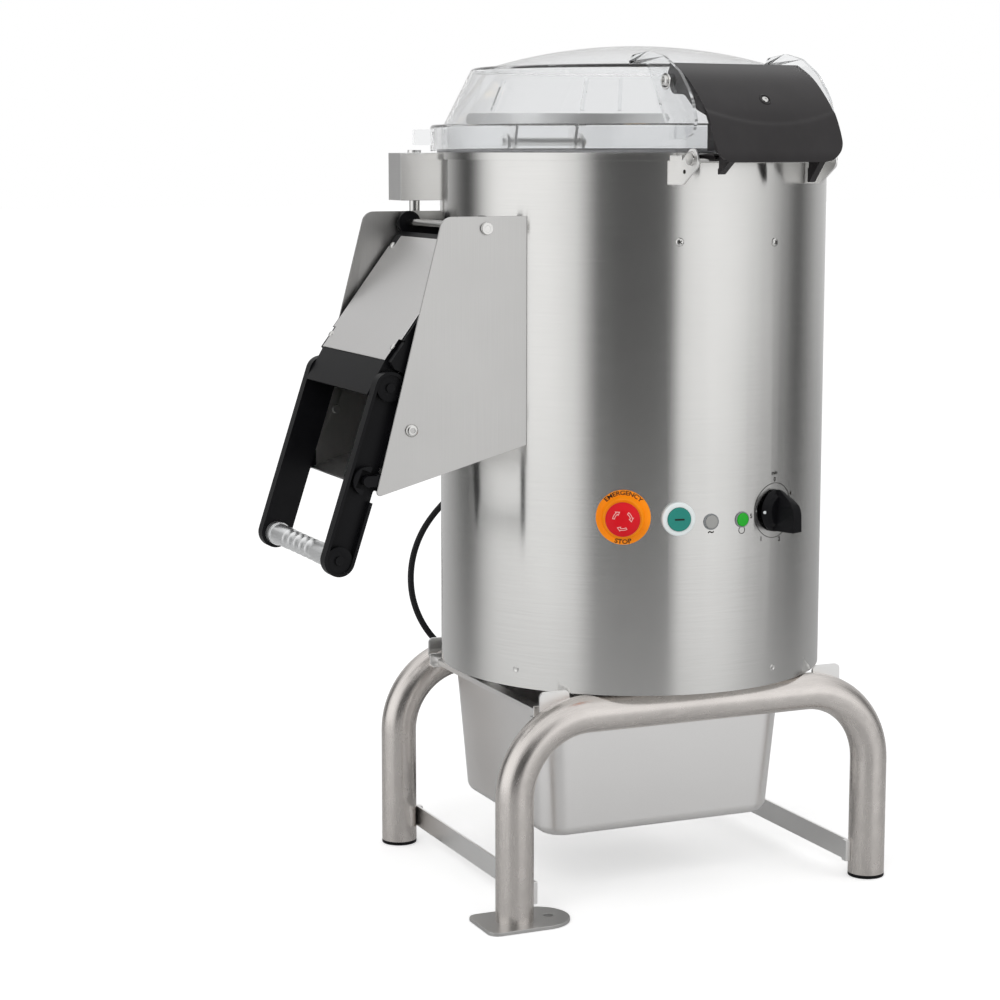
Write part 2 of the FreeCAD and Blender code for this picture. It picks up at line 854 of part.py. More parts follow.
def peeling_disc():
    disc_r = liner_inner_r() - disc_gap
    top = disc_bottom_z + disc_t
    disc = turned_profile([(0, disc_bottom_z), (disc_r - 3, disc_bottom_z), (disc_r, disc_bottom_z + 3),
                           (disc_r, top, 3), (disc_hub_r, top), (disc_hub_r, top + disc_hub_h, 6),
                           (0, top + disc_hub_h)])
    ridge = plate_yz([(-disc_ridge_w / 2, top - 1), (disc_ridge_w / 2, top - 1),
                      (0, top + disc_ridge_h, 30)], disc_hub_r - 4, disc_hub_r + disc_ridge_l)
    for index in range(2):
        disc = disc.fuse(turn(ridge, 180 * index))
    return disc.cut(post(shaft_r, 0, 0, 0, top)).removeSplitter()


def cheek(side):
    corners = [(cheek_low_x, cheek_low_z, 4), (cheek_top_x, cheek_top_z, cheek_corner_r)]
    corners += [(-drum_r / 2, cheek_top_z), (-drum_r / 2, cheek_root_z + 20), (cheek_root_x, cheek_root_z)]
    plate = plate_xz(corners, cheek_inner_y, cheek_inner_y + cheek_t)
    plate = plate.cut(post(drum_r, 0, 0, 0, drum_top_z))
    plate = plate.cut(crosswise(hinge_r + running_gap, hinge_x, hinge_z, 0, drum_r))
    outer_y = cheek_inner_y + cheek_t
    plate = plate.fuse(crosswise(cheek_bolt_r, low_bolt_x, low_bolt_z, outer_y, outer_y + cheek_bolt_h))
    plate = plate.fuse(crosswise(cheek_bolt_r, low_bolt_x, low_bolt_z, cheek_inner_y - 3, cheek_inner_y))
    if side < 0:
        plate = mirror_y(plate)
    return plate.removeSplitter()


def chute_floor():
    lip_x = cheek_low_x + chute_floor_back
    inner_x = -drum_r / 2
    corners = [(lip_x, chute_floor_z(lip_x) - chute_floor_t), (lip_x, chute_floor_z(lip_x))]
    corners += [(inner_x, chute_floor_z(inner_x)), (inner_x, chute_floor_z(inner_x) - chute_floor_t)]
    plate = plate_xz(corners, -cheek_inner_y, cheek_inner_y)
    plate = plate.cut(post(drum_r, 0, 0, 0, drum_top_z))
    return plate


def catch_block(side):
    """Black stop on the cheek's lower corner, its nose held by the handle arm's hook."""
    nose = crosswise(catch_nose_r, catch_x, catch_z, cheek_inner_y - catch_block_w, cheek_inner_y)
    x0 = catch_x
    x1 = catch_x + catch_block_back
    neck = box(x0, x1, cheek_inner_y - catch_block_w, cheek_inner_y,
               catch_z - catch_nose_r, catch_z + catch_nose_r)
    low_z = catch_z - catch_block_h * 0.65
    block = plate_xz([(x0 + 9, low_z + 2, 2), (x0 + 9, low_z + catch_block_h, 2),
                      (x1, low_z + catch_block_h), (x1, low_z + 4)],
                     cheek_inner_y - catch_block_w, cheek_inner_y)
    block = nose.fuse(neck).fuse(block).removeSplitter()
    if side < 0:
        block = mirror_y(block)
    return block


def door_web(y0, y1):
    web = plate_xz([(door_top_x + 3, door_top_z - 2), (door_knee_x + 4, door_knee_z),
                    (door_knee_x + 8, door_knee_z - 8), (-drum_r + 18, door_panel_bottom_z + 10),
                    (-drum_r + 38, door_panel_bottom_z), (-drum_r + 38, door_panel_top_z),
                    (hinge_x, hinge_z + 4)], y0, y1)
    web = web.fuse(crosswise(knuckle_r, hinge_x, hinge_z, y0, y1))
    return web.cut(post(door_panel_r - door_panel_t, 0, 0, 0, drum_top_z)).removeSplitter()


def along(x0, z0, x1, z1, thickness, y0, y1):
    """A flat strip between two places on the door's profile, thick towards the drum."""
    length = math.hypot(x1 - x0, z1 - z0)
    in_x = -(z1 - z0) / length * thickness
    in_z = (x1 - x0) / length * thickness
    return plate_xz([(x0, z0), (x1, z1), (x1 + in_x, z1 + in_z), (x0 + in_x, z0 + in_z)], y0, y1)


def low_corner(top_z, y0, y1):
    """The space at the door's lower corner, where its sides step in."""
    return box(door_toe_x - door_side_gap, door_knee_x + 48, y0, y1, door_toe_z - door_side_gap, top_z)


def door_frame():
    inset = 1.3
    top_x = door_top_x + inset * 0.8
    top_z = door_top_z - inset * 0.6
    knee_x = door_knee_x + inset * 0.8
    knee_z = door_knee_z - inset * 0.6
    frame = along(top_x, top_z, knee_x, knee_z, door_skin_t, -door_half_w, door_half_w)
    corner = low_corner(door_knee_z + 22, door_low_half_w, door_half_w + 1)
    frame = frame.cut(corner)
    frame = frame.cut(mirror_y(corner))
    lower = along(knee_x, knee_z, door_toe_x, door_toe_z, door_skin_t, -door_low_half_w, door_low_half_w)
    frame = frame.fuse(lower)
    brow = plate_xz([(top_x, top_z), (hinge_x - 8, hinge_z - 10), (hinge_x - 5, hinge_z - 13),
                     (top_x + 3, top_z - 4)], -door_half_w, door_half_w)
    frame = frame.fuse(brow)
    panel = ring(door_panel_r, door_panel_r - door_panel_t, door_panel_bottom_z, door_panel_top_z)
    panel = panel.common(box(-drum_r, -drum_r / 2, -door_half_w, door_half_w, 0, drum_top_z))
    frame = frame.fuse(panel)
    web = door_web(door_half_w - knuckle_w, door_half_w)
    frame = frame.fuse(web)
    frame = frame.fuse(mirror_y(web))
    ear = plate_xz([(knee_x + 3, knee_z + 1), (door_toe_x + 2, door_toe_z + 1),
                    (arm_pivot_x - 6, arm_pivot_z - 12, 5),
                    (arm_pivot_x + 12, arm_pivot_z - 12, 10), (arm_pivot_x + 16, knee_z + 18)],
                   door_low_half_w - knuckle_w, door_low_half_w)
    stub = crosswise(arm_pivot_r, arm_pivot_x, arm_pivot_z, door_low_half_w - 1, arm_inner_y + arm_t - 3)
    frame = frame.fuse(ear).fuse(mirror_y(ear))
    frame = frame.fuse(stub).fuse(mirror_y(stub))
    frame = frame.cut(crosswise(hinge_r, hinge_x, hinge_z, -drum_r, drum_r))
    return frame.removeSplitter()


def cover_plate():
    """Satin plate riveted on the door, two of its corners cut off."""
    length = math.hypot(door_knee_x - door_top_x, door_knee_z - door_top_z)
    way_x = (door_knee_x - door_top_x) / length
    way_z = (door_knee_z - door_top_z) / length
    half = door_half_w - cover_margin
    sheet = along(door_top_x + way_x * 0.5, door_top_z + way_z * 0.5,
                  door_knee_x - way_x * 2, door_knee_z - way_z * 2, cover_t, -half, half)
    cut = 16.0
    low = low_corner(door_knee_z + 23, -door_half_w, -door_low_half_w)
    sheet = sheet.cut(low).cut(mirror_y(low))
    high_z = door_top_z - cut * 0.8
    high = box(door_knee_x, 0, half - cut, door_half_w, high_z, drum_top_z)
    return sheet.cut(high)


def hinge_rod():
    """Door pivot through both cheeks, with the crank behind the rear one."""
    end_y = cheek_inner_y + cheek_t
    shaft = crosswise(hinge_r, hinge_x, hinge_z, -end_y - slide_gap, end_y + crank_gap + crank_w)
    head = crosswise(cheek_bolt_r + 1.5, hinge_x, hinge_z, -end_y - cheek_bolt_h - 0.6, -end_y - 0.6)
    neck = crosswise(hinge_r, hinge_x, hinge_z, -end_y - 0.6, -end_y)
    tip_x = lock_rod_x + lock_rod_r + 1
    top_z = lock_rod_bottom_z - seat_gap
    crank = plate_xz([(hinge_x - 8, hinge_z - 7, 5), (hinge_x - 8, top_z, 3), (tip_x, top_z, 1.5),
                      (tip_x, top_z - 9, 3), (hinge_x + 8, hinge_z - 7, 4)],
                     end_y + crank_gap, end_y + crank_gap + crank_w)
    return shaft.fuse(head).fuse(neck).fuse(crank).removeSplitter()


def arm_outline(radius, y0, y1):
    """A straight bar with round ends between the pivot and the grip."""
    length = math.hypot(grip_x - arm_pivot_x, grip_z - arm_pivot_z)
    side_x = -(grip_z - arm_pivot_z) / length * radius
    side_z = (grip_x - arm_pivot_x) / length * radius
    bar = plate_xz([(arm_pivot_x + side_x, arm_pivot_z + side_z), (grip_x + side_x, grip_z + side_z),
                    (grip_x - side_x, grip_z - side_z), (arm_pivot_x - side_x, arm_pivot_z - side_z)], y0, y1)
    bar = bar.fuse(crosswise(radius, arm_pivot_x, arm_pivot_z, y0, y1))
    return bar.fuse(crosswise(radius, grip_x, grip_z, y0, y1)).removeSplitter()


def handle_arm(side):
    """Channel-shaped arm: a web, a rim round its outer side, two bosses and a hook."""
    outer_y = arm_inner_y + arm_t
    web_y = arm_inner_y + arm_web_t
    boss_y = outer_y - arm_boss_drop
    arm = arm_outline(arm_r, arm_inner_y, outer_y)
    arm = arm.cut(arm_outline(arm_r - arm_rim_t, web_y, outer_y + 1))
    way = Vector(catch_way_x, 0, catch_way_z)
    across = Vector(-catch_way_z, 0, catch_way_x)
    here = Vector(catch_x, 0, catch_z)
    gate_half = catch_ring_r + catch_gate_gap
    gate_l = 3 * arm_r
    gate = [here + across * gate_half, here + way * gate_l + across * gate_half,
            here + way * gate_l - across * gate_half, here - across * gate_half]
    arm = arm.cut(plate_xz([(p.x, p.z) for p in gate], web_y, outer_y + 1))
    hook = crosswise(catch_ring_r, catch_x, catch_z, web_y - 0.5, outer_y)
    room = catch_nose_r + catch_ring_gap
    slot = [here - way * room + across * room, here + way * gate_l + across * room,
            here + way * gate_l - across * room, here - way * room - across * room]
    hook = hook.cut(plate_xz([(p.x, p.z) for p in slot], web_y, outer_y + 1))
    hook = hook.cut(plate_xz([(p.x, p.z) for p in gate], web_y, outer_y + 1))
    arm = arm.fuse(hook)
    for x, z in ((arm_pivot_x, arm_pivot_z), (grip_x, grip_z)):
        arm = arm.fuse(crosswise(arm_boss_r, x, z, web_y - 0.5, boss_y))
    arm = arm.cut(crosswise(arm_pivot_r + running_gap, arm_pivot_x, arm_pivot_z, 0, outer_y - 3 + slide_gap))
    for x, z in ((arm_pivot_x, arm_pivot_z), (grip_x, grip_z)):
        arm = arm.fuse(crosswise(arm_screw_r, x, z, boss_y, boss_y + arm_screw_h))
    if side < 0:
        arm = mirror_y(arm)
    return arm.removeSplitter()


def grip_point(radius, y):
    """A point on the grip's profile, by distance from its axis."""
    return Vector(grip_x + radius, y, grip_z)


def grip_lines(points):
    ends = zip(points, points[1:])
    return [Part.LineSegment(grip_point(*first), grip_point(*last)).toShape() for first, last in ends]


def handle_grip():
    """Round grip between the arms, waved for the fingers."""
    half = arm_inner_y
    collar_r = grip_r + grip_collar_rise
    collar_y = half - grip_collar_l
    start = -grip_waves * grip_wave_l / 2
    edges = grip_lines([(0, -half), (collar_r, -half), (collar_r, -collar_y), (grip_r, -collar_y), (grip_r, start)])
    for index in range(grip_waves):
        low = grip_point(grip_r, start + index * grip_wave_l)
        top = grip_point(grip_waist_r, start + (index + 0.5) * grip_wave_l)
        high = grip_point(grip_r, start + (index + 1) * grip_wave_l)
        edges.append(Part.Arc(low, top, high).toShape())
    edges += grip_lines([(grip_r, -start), (grip_r, collar_y), (collar_r, collar_y), (collar_r, half), (0, half),
                         (0, -half)])
    face = Part.Face(Part.Wire(edges))
    return face.revolve(Vector(grip_x, 0, grip_z), Vector(0, 1, 0), 360)


def interlock_box():
    y1 = lock_box_y + lock_box_w
    top = lock_box_z + lock_box_h
    shell = box(lock_box_x, -drum_r / 2, lock_box_y, y1, lock_box_z, top)
    room = box(lock_box_x + lock_box_t, -drum_r / 2, lock_box_y + lock_box_t, y1 - lock_box_t,
               lock_box_z + lock_box_t, top - lock_box_t)
    shell = shell.cut(room)
    shell = shell.cut(post(drum_r + bead_out + seat_gap, 0, 0, drum_top_z - bead_h - 1, drum_top_z + 10))
    shell = shell.cut(post(drum_r, 0, 0, 0, drum_top_z))
    shell = shell.cut(post(lock_rod_r + running_gap, lock_rod_x, lock_rod_y, 0, lock_box_z + lock_box_t + 1))
    return shell.fuse(post(lock_bolt_r, lock_rod_x, lock_rod_y, top, top + lock_bolt_h)).removeSplitter()


def bell(base_r, base_z, shoulder_r, shoulder_z, crown_z, corner_r):
    """Solid dome: a leaning side, a flat shelf and a shallow round crown."""
    shelf_r = shoulder_r - lid_shelf_w
    rise = crown_z - shoulder_z
    sphere_r = (shelf_r ** 2 + rise ** 2) / (2 * rise)
    mid_r = shelf_r / 2
    mid_z = crown_z - sphere_r + math.sqrt(sphere_r ** 2 - mid_r ** 2)
    corners = [Vector(0, 0, base_z), Vector(base_r, 0, base_z), Vector(shoulder_r, 0, shoulder_z)]
    shelf_end = Vector(shelf_r, 0, shoulder_z)
    edges = [Part.LineSegment(corners[0], corners[1]).toShape()]
    edges.append(Part.LineSegment(corners[1], corners[2]).toShape())
    edges.append(Part.LineSegment(corners[2], shelf_end).toShape())
    edges.append(Part.Arc(shelf_end, Vector(mid_r, 0, mid_z), Vector(0, 0, crown_z)).toShape())
    edges.append(Part.LineSegment(Vector(0, 0, crown_z), corners[0]).toShape())
    solid = Part.Face(Part.Wire(edges)).revolve(middle, axis_z, 360)
    rims = [edge for edge in solid.Edges if edge.Closed and abs(edge.CenterOfMass.z - shoulder_z) < 0.01]
    outer_rim = max(rims, key=lambda edge: edge.BoundBox.XMax)
    return solid.makeFillet(corner_r, [outer_rim])


def lid_ear(side):
    """Clear cheek beside the handle, from the crown out past the rim."""
    corners = [(-73, 88), (-93, 104, 10), (-57, 108, 20), (-29, 102, 30), (1, 84, 40), (22, 58, 40)]
    corners += [(30, 34, 10), (26, 20, 8), (9, 14, 8), (-18, 14), (-18, 26), (-43, 38)]
    u0 = side * ear_u - ear_t / 2
    return plate_rz(from_rim(corners), u0, u0 + ear_t)


def lid_dome():
    outer = bell(lid_base_r, lid_rim_z - lid_t, lid_shoulder_r, lid_shoulder_z, lid_crown_z, lid_corner_r)
    inner = bell(lid_base_r - lid_t, lid_rim_z - lid_t - 0.001, lid_shoulder_r - lid_t,
                 lid_shoulder_z - lid_t, lid_crown_z - lid_t, lid_corner_r - lid_t / 2)
    dome = outer
    for side in (-1, 1):
        ear = turn(lid_ear(side), handle_azimuth)
        dome = dome.fuse(ear)
    rest_z = drum_top_z + seal_h + seat_gap
    dome = dome.fuse(ring(lid_rim_r, lid_base_r - lid_t, lid_rim_z - lid_t, lid_rim_z))
    dome = dome.fuse(ring(lid_rim_r, lid_rim_r - lid_t, lid_skirt_z, lid_rim_z))
    dome = dome.fuse(ring(lid_rest_r, lid_rest_r - lid_rest_t, rest_z, lid_rim_z))
    tab = box(-lid_tab_w / 2, lid_tab_w / 2, -lid_tab_r, -lid_rim_r + lid_t / 2, lid_tab_low_z, lid_tab_top_z)
    dome = dome.fuse(turn(tab, lid_tab_azimuth))
    dome = dome.cut(inner)
    dome = dome.cut(post(lid_base_r - lid_t, 0, 0, drum_top_z, lid_rim_z - lid_t + 0.5))
    pivot = rod(handle_pivot_pin + running_gap, Vector(-drum_r, -handle_pivot_r, handle_pivot_z),
                Vector(drum_r, -handle_pivot_r, handle_pivot_z))
    return dome.cut(turn(pivot, handle_azimuth)).removeSplitter()


def handle_profile():
    """Side profile of the handle's visor: (distance out, height), top edge to lip."""
    return from_rim([(-27, 96), (-1, 84), (20, 65), (39, 45), (51, 20), (56, 3), (56, -10)])


def lid_handle():
    outer = handle_profile()
    inner = []
    for index, (a, b) in enumerate(outer):
        before = outer[max(index - 1, 0)]
        after = outer[min(index + 1, len(outer) - 1)]
        run = Vector(after[0] - before[0], after[1] - before[1], 0)
        run.normalize()
        inner.append((a + run.y * handle_t, b - run.x * handle_t))
    visor = plate_rz(outer + inner[::-1], -handle_half_w, handle_half_w)
    low_z = outer[-1][1]
    front = outline_edges([(-handle_half_w, low_z, handle_corner_r), (handle_half_w, low_z, handle_corner_r),
                           (handle_half_w, lid_crown_z), (-handle_half_w, lid_crown_z)],
                          lambda p: Vector(p.x, -drum_r / 2, p.y))
    visor = visor.common(Part.Face(Part.Wire(front)).extrude(Vector(0, -drum_r, 0)))
    side = from_rim([(-27, 96), (-1, 84), (20, 65), (36, 47), (39, 38), (17, 46, 20), (-1, 61, 12)])
    side += [(handle_pivot_r - 2, handle_pivot_z - 13, 10), (handle_pivot_r - 9, handle_pivot_z + 9, 6)]
    whole = visor
    for end in (-1, 1):
        u0 = end * (handle_half_w - handle_cheek_t / 2) - handle_cheek_t / 2
        whole = whole.fuse(plate_rz(side, u0, u0 + handle_cheek_t))
        pin_end = end * (ear_u + ear_t / 2 + 0.5)
        pin = rod(handle_pivot_pin, Vector(end * (handle_half_w - 2), -handle_pivot_r, handle_pivot_z),
                  Vector(pin_end, -handle_pivot_r, handle_pivot_z))
        head = rod(handle_pivot_pin + 3, Vector(pin_end, -handle_pivot_r, handle_pivot_z),
                   Vector(pin_end + end * 3.5, -handle_pivot_r, handle_pivot_z))
        whole = whole.fuse(pin).fuse(head)
    clear_r = keeper_rod_r + hook_gap
    toe_out = keeper_out + keeper_rod_r + toe_gap
    toe_z = keeper_z - toe_drop
    for end, low in ((-1, left_finger_z), (1, right_finger_z)):
        rib = [(keeper_out - 13, drum_top_z + 30), (keeper_out - 13, low, 3), (keeper_out + 5, low, 6)]
        rib += from_rim([(54, -9), (54, 4), (49, 20), (39, 40)])
        u0 = end * finger_u - finger_t / 2
        finger = plate_rz(rib, u0, u0 + finger_t)
        slot = [(keeper_out - 30, low - 9), (keeper_out - 30, keeper_z + clear_r),
                (keeper_out + clear_r, keeper_z + clear_r), (keeper_out + clear_r, toe_z),
                (toe_out, toe_z), (toe_out, low - 9)]
        whole = whole.fuse(finger.cut(plate_rz(slot, u0 - 1, u0 + finger_t + 1)))
    return turn(whole.removeSplitter(), handle_azimuth)


def keeper_bracket(side):
    low_z = keeper_z - 28
    corners = [(drum_r - 24, low_z), (drum_r + 8, low_z, 3), (keeper_out + 12, low_z + 20, 8),
               (keeper_out + 8, keeper_z + 11, 8),
               (keeper_out - 4, keeper_z + 10, 6), (drum_r + 6, keeper_z - 2), (drum_r + 6, keeper_z + 3, 1),
               (drum_r - 24, keeper_z + 3)]
    u0 = side * keeper_u - keeper_t / 2
    plate = plate_rz(corners, u0, u0 + keeper_t).cut(post(drum_r, 0, 0, 0, drum_top_z))
    bead_room = post(drum_r + bead_out + seat_gap, 0, 0, drum_top_z - bead_h - seat_gap, drum_top_z + 9)
    plate = plate.cut(bead_room)
    hole = rod(keeper_rod_r, Vector(-drum_r, -keeper_out, keeper_z), Vector(drum_r, -keeper_out, keeper_z))
    return turn(plate.cut(hole), handle_azimuth)


def keeper_rod():
    end = keeper_u + keeper_t / 2
    bar = rod(keeper_rod_r, Vector(-end, -keeper_out, keeper_z), Vector(end, -keeper_out, keeper_z))
    for side in (-1, 1):
        bar = bar.fuse(rod(keeper_rod_r + 2, Vector(side * end, -keeper_out, keeper_z),
                           Vector(side * (end + 3.5), -keeper_out, keeper_z)))
    return turn(bar.removeSplitter(), handle_azimuth)


def lid_hinge_arms():
    foot = box(-hinge_foot_half_l, hinge_foot_half_l, lid_base_r + 4, lid_rim_r + 14,
               lid_rim_z, lid_rim_z + hinge_foot_t)
    whole = foot
    for x0 in (-hinge_arm_x - hinge_arm_t, hinge_arm_x):
        arm = plate_yz([(lid_rim_r + 2, lid_rim_z), (lid_base_r + 8, lid_rim_z),
                        (lid_base_r + 8, lid_rim_z + 6, 3),
                        (lid_pin_y + 2, lid_rim_z + 6, 8), (lid_pin_y + 10, lid_pin_z + 12, 8),
                        (lid_pin_y + 10, lid_pin_z - 10, 8), (lid_pin_y - 10, lid_pin_z - 10, 8),
                        (lid_pin_y - 10, lid_pin_z + 6)], x0, x0 + hinge_arm_t)
        whole = whole.fuse(arm)
    end = hinge_lug_x + hinge_lug_t + 5
    pin = rod(lid_pin_r, Vector(-end, lid_pin_y, lid_pin_z), Vector(end, lid_pin_y, lid_pin_z))
    return whole.fuse(pin).removeSplitter()


def lid_hinge_bracket():
    plate = sector(drum_r, drum_r + hinge_plate_t, hinge_plate_low_z, hinge_plate_top_z,
                   180 - hinge_plate_deg, 180 + hinge_plate_deg)
    for x0 in (-hinge_lug_x - hinge_lug_t, hinge_lug_x):
        lug = plate_yz([(drum_r - 20, hinge_plate_low_z + 3), (drum_r + 4, hinge_plate_low_z + 3, 6),
                        (lid_pin_y + 10, lid_pin_z - 14, 10), (lid_pin_y + 10, lid_pin_z + 9, 9),
                        (lid_pin_y - 10, lid_pin_z + 9, 9), (lid_pin_y - 12, lid_pin_z - 18),
                        (drum_r - 20, hinge_plate_top_z - 2)], x0, x0 + hinge_lug_t)
        plate = plate.fuse(lug.cut(post(drum_r, 0, 0, 0, lid_crown_z)))
    hole = rod(lid_pin_r + running_gap, Vector(-drum_r, lid_pin_y, lid_pin_z),
               Vector(drum_r, lid_pin_y, lid_pin_z))
    return plate.cut(hole).removeSplitter()


def stop_collar():
    body = turned_stud([(0, -barrel_l), (barrel_r, -barrel_l), (barrel_r, face_lift),
                        (stop_legend_r, face_lift), (stop_legend_r, face_lift + stop_legend_t, 0.8),
                        (stop_collar_r, face_lift + stop_legend_t),
                        (stop_collar_top_r, face_lift + stop_legend_t + stop_collar_h, 1.5),
                        (0, face_lift + stop_legend_t + stop_collar_h)], stop_z)
    bore = stud(stop_stem_r + running_gap, -barrel_l + 6, 30, stop_z)
    return turn(body.cut(bore), stop_azimuth)


def stop_button():
    low = face_lift + stop_legend_t + stop_collar_h + stop_travel + 0.5
    top = low + stop_head_h
    head = turned_stud([(0, low - 26), (stop_stem_r, low - 26), (stop_stem_r, low), (stop_head_r - 5, low),
                        (stop_head_r, low + 2.5, 2), (stop_head_r, low + 5, 3),
                        (stop_head_r * 0.55, top, 12), (0, top)], stop_z)
    return turn(head, stop_azimuth)


def start_bezel():
    body = turned_stud([(0, -barrel_l), (barrel_r, -barrel_l), (barrel_r, face_lift),
                        (start_bezel_r, face_lift),
                        (start_bezel_r, start_bezel_h - 1, 0.8), (start_bezel_r - 1.5, start_bezel_h),
                        (0, start_bezel_h)], start_z)
    pocket = stud(start_cap_r + seat_gap, 1.0, 30, start_z)
    bore = stud(start_stem_r + running_gap, -barrel_l + 8, 30, start_z)
    return turn(body.cut(pocket).cut(bore), start_azimuth)


def start_button():
    low = 1.0 + start_travel + 0.4
    cap = turned_stud([(0, low - 24), (start_stem_r, low - 24), (start_stem_r, low), (start_cap_r, low),
                       (start_cap_r, low + start_cap_h, 1.2), (0, low + start_cap_h)], start_z)
    return turn(cap, start_azimuth)


def lamp(azimuth):
    body = turned_stud([(0, -lamp_barrel_l), (lamp_barrel_r, -lamp_barrel_l), (lamp_barrel_r, face_lift),
                        (lamp_r, face_lift), (lamp_r, lamp_h, 1.2), (0, lamp_h)], lamp_z)
    return turn(body, azimuth)


def timer_body():
    body = turned_stud([(0, -timer_body_l), (timer_body_r, -timer_body_l), (timer_body_r, -drum_t - 3),
                        (timer_bush_r, -drum_t - 3), (timer_bush_r, 1.8), (0, 1.8)], timer_z)
    return turn(body.cut(stud(timer_spindle_r + running_gap, -20, 10, timer_z)), timer_azimuth)


def timer_knob():
    low = knob_lift
    skirt = turned_stud([(0, low), (knob_skirt_r, low), (knob_skirt_r, low + 1),
                         (knob_body_r + 2, low + knob_skirt_h, 1),
                         (knob_body_r, low + knob_skirt_h + 4, 2), (0, low + knob_skirt_h + 4)], timer_z)
    half = knob_fin_w / 2
    top_z = timer_z + knob_skirt_r
    root = drum_r + low + 1
    crest = drum_r + knob_h
    side = plate_rz([(root, timer_z - knob_fin_foot), (crest, timer_z - knob_fin_foot, 2),
                     (crest - 1, timer_z + knob_skirt_r * 0.35, 22), (drum_r + knob_tip_h, top_z, 1),
                     (root, top_z)], -half, half)
    face = outline_edges([(-half, timer_z - knob_fin_foot, 1), (half, timer_z - knob_fin_foot, 1),
                          (half, timer_z + knob_skirt_r * 0.3, 9), (1, top_z), (-1, top_z),
                          (-half, timer_z + knob_skirt_r * 0.3, 9)],
                         lambda p: Vector(p.x, -drum_r, p.y))
    fin = side.common(Part.Face(Part.Wire(face)).extrude(Vector(0, -2 * knob_h, 0)))
    spindle = stud(timer_spindle_r, -18, low + 1, timer_z)
    return turn(skirt.fuse(fin).fuse(spindle).removeSplitter(), timer_azimuth)


def control_box():
    low = control_box_low_z
    top = low + control_box_h
    t = control_box_t
    reach = drum_inner_r - slide_gap
    outer = sector(control_box_in_r, reach, low, top, control_box_left_deg, control_box_right_deg)
    room = sector(control_box_in_r + t, reach + 5, low + t, top - t,
                  control_box_left_deg + 0.6, control_box_right_deg - 0.6)
    return outer.cut(room)


def water_inlet():
    wall_y = math.sqrt(drum_r ** 2 - inlet_x ** 2)
    start_y = wall_y - 22
    end_y = wall_y + 8 + inlet_nut_t + inlet_l
    body = inlet_bar(inlet_r, start_y, end_y)
    body = body.fuse(inlet_bar(inlet_nut_r, wall_y + 8, wall_y + 8 + inlet_nut_t))
    return body.cut(inlet_bar(inlet_bore_r, start_y - 1, end_y + 1)).removeSplitter()


def cable_gland():
    inside = gland_nut_l
    nut = stud(gland_nut_r, -drum_t - inside, -drum_t - 2.5, gland_z)
    thread = stud(gland_dome_r, -drum_t - inside, 0.5, gland_z)
    tip_w = gland_nut_l + gland_dome_l
    relief = turned_stud([(0, 2.5), (gland_nut_r, 2.5), (gland_nut_r, gland_nut_l, 1),
                          (gland_dome_r, gland_nut_l), (lead_r + 1.5, tip_w, 2), (0, tip_w)], gland_z)
    whole = nut.fuse(thread).fuse(stud(gland_dome_r, 0, 3, gland_z)).fuse(relief).removeSplitter()
    return turn(whole, gland_azimuth)


def gland_tip():
    tip = outward(gland_azimuth) * (drum_r + gland_nut_l + gland_dome_l)
    return Vector(tip.x, tip.y, gland_z)


def lead_points():
    """The lead's route: out of the gland, a hanging loop at the side, down behind the pan."""
    start = gland_tip()
    way = outward(gland_azimuth)
    route = [start, start + way * lead_start_run]
    for x, y, z in ((-80, 283, 431), (-102, 294, 412), (-129, 293, 389), (-152, 289, 361), (-166, 284, 327),
                    (-169, 278, 291), (-161, 271, 258), (-144, 264, 230), (-118, 257, 207), (-97, 252, 176),
                    (-86, 248, 138), (-77, 246, 98), (-62, 245, 61), (-38, 244, 31), (-9, 243.2, 11)):
        route.append(Vector(x, y, z))
    route.append(Vector(coil_x - lead_end_run, coil_y - coil_r, lead_r))
    route.append(Vector(coil_x, coil_y - coil_r, lead_r))
    return route


def lead_radii(points):
    """The largest arc that the two runs at each point allow."""
    radii = []
    for index in range(1, len(points) - 1):
        before = points[index] - points[index - 1]
        after = points[index + 1] - points[index]
        shorter = min(before.Length, after.Length)
        radii.append(0.45 * shorter / math.tan(before.getAngle(after) / 2))
    return radii


def half_turn(start, heading, end):
    """Two arcs from start to end, which leaves with the opposite heading."""
    reach = (end - start).Length / 2
    first_corner = start + heading * reach
    last_corner = end + heading * reach
    join = (first_corner + last_corner) * 0.5
    return [arc_between(start, first_corner, join), arc_between(join, last_corner, end)]


def coil_edges():
    """Loops that spiral in on the floor, climb a layer and spiral out again."""
    low = lead_r
    high = lead_r + coil_layer_h
    last = plug_r
    radii = [coil_r - coil_pitch / 2 * index for index in range(coil_half_turns + 1)]
    radii += [radii[coil_half_turns] + coil_pitch / 2 * (index + 1) for index in range(coil_half_turns + 1)]
    here = Vector(coil_x, coil_y - coil_r, low)
    edges = []
    side = 1
    for index, radius in enumerate(radii):
        if index == coil_half_turns:
            z = high
        elif index == len(radii) - 1:
            z = last
        else:
            z = here.z
        there = Vector(coil_x, here.y + side * 2 * radius, z)
        edges += half_turn(here, Vector(side, 0, 0), there)
        here = there
        side = -side
    end = here + Vector(coil_end_run, 0, 0)
    edges.append(Part.LineSegment(here, end).toShape())
    return edges, end


def coil_gap(edges):
    """Least gap between the lead's turns, measured on points along its centreline."""
    marks = []
    run = 0.0
    for edge in edges:
        for point in edge.discretize(25)[:-1]:
            marks.append((run + (point - edge.valueAt(edge.FirstParameter)).Length, point))
        run += edge.Length
    least = 1e9
    for index, (at, point) in enumerate(marks):
        for other_at, other in marks[index + 1:]:
            if other_at - at > 12 * lead_r:
                least = min(least, (other - point).Length)
    return least - 2 * lead_r


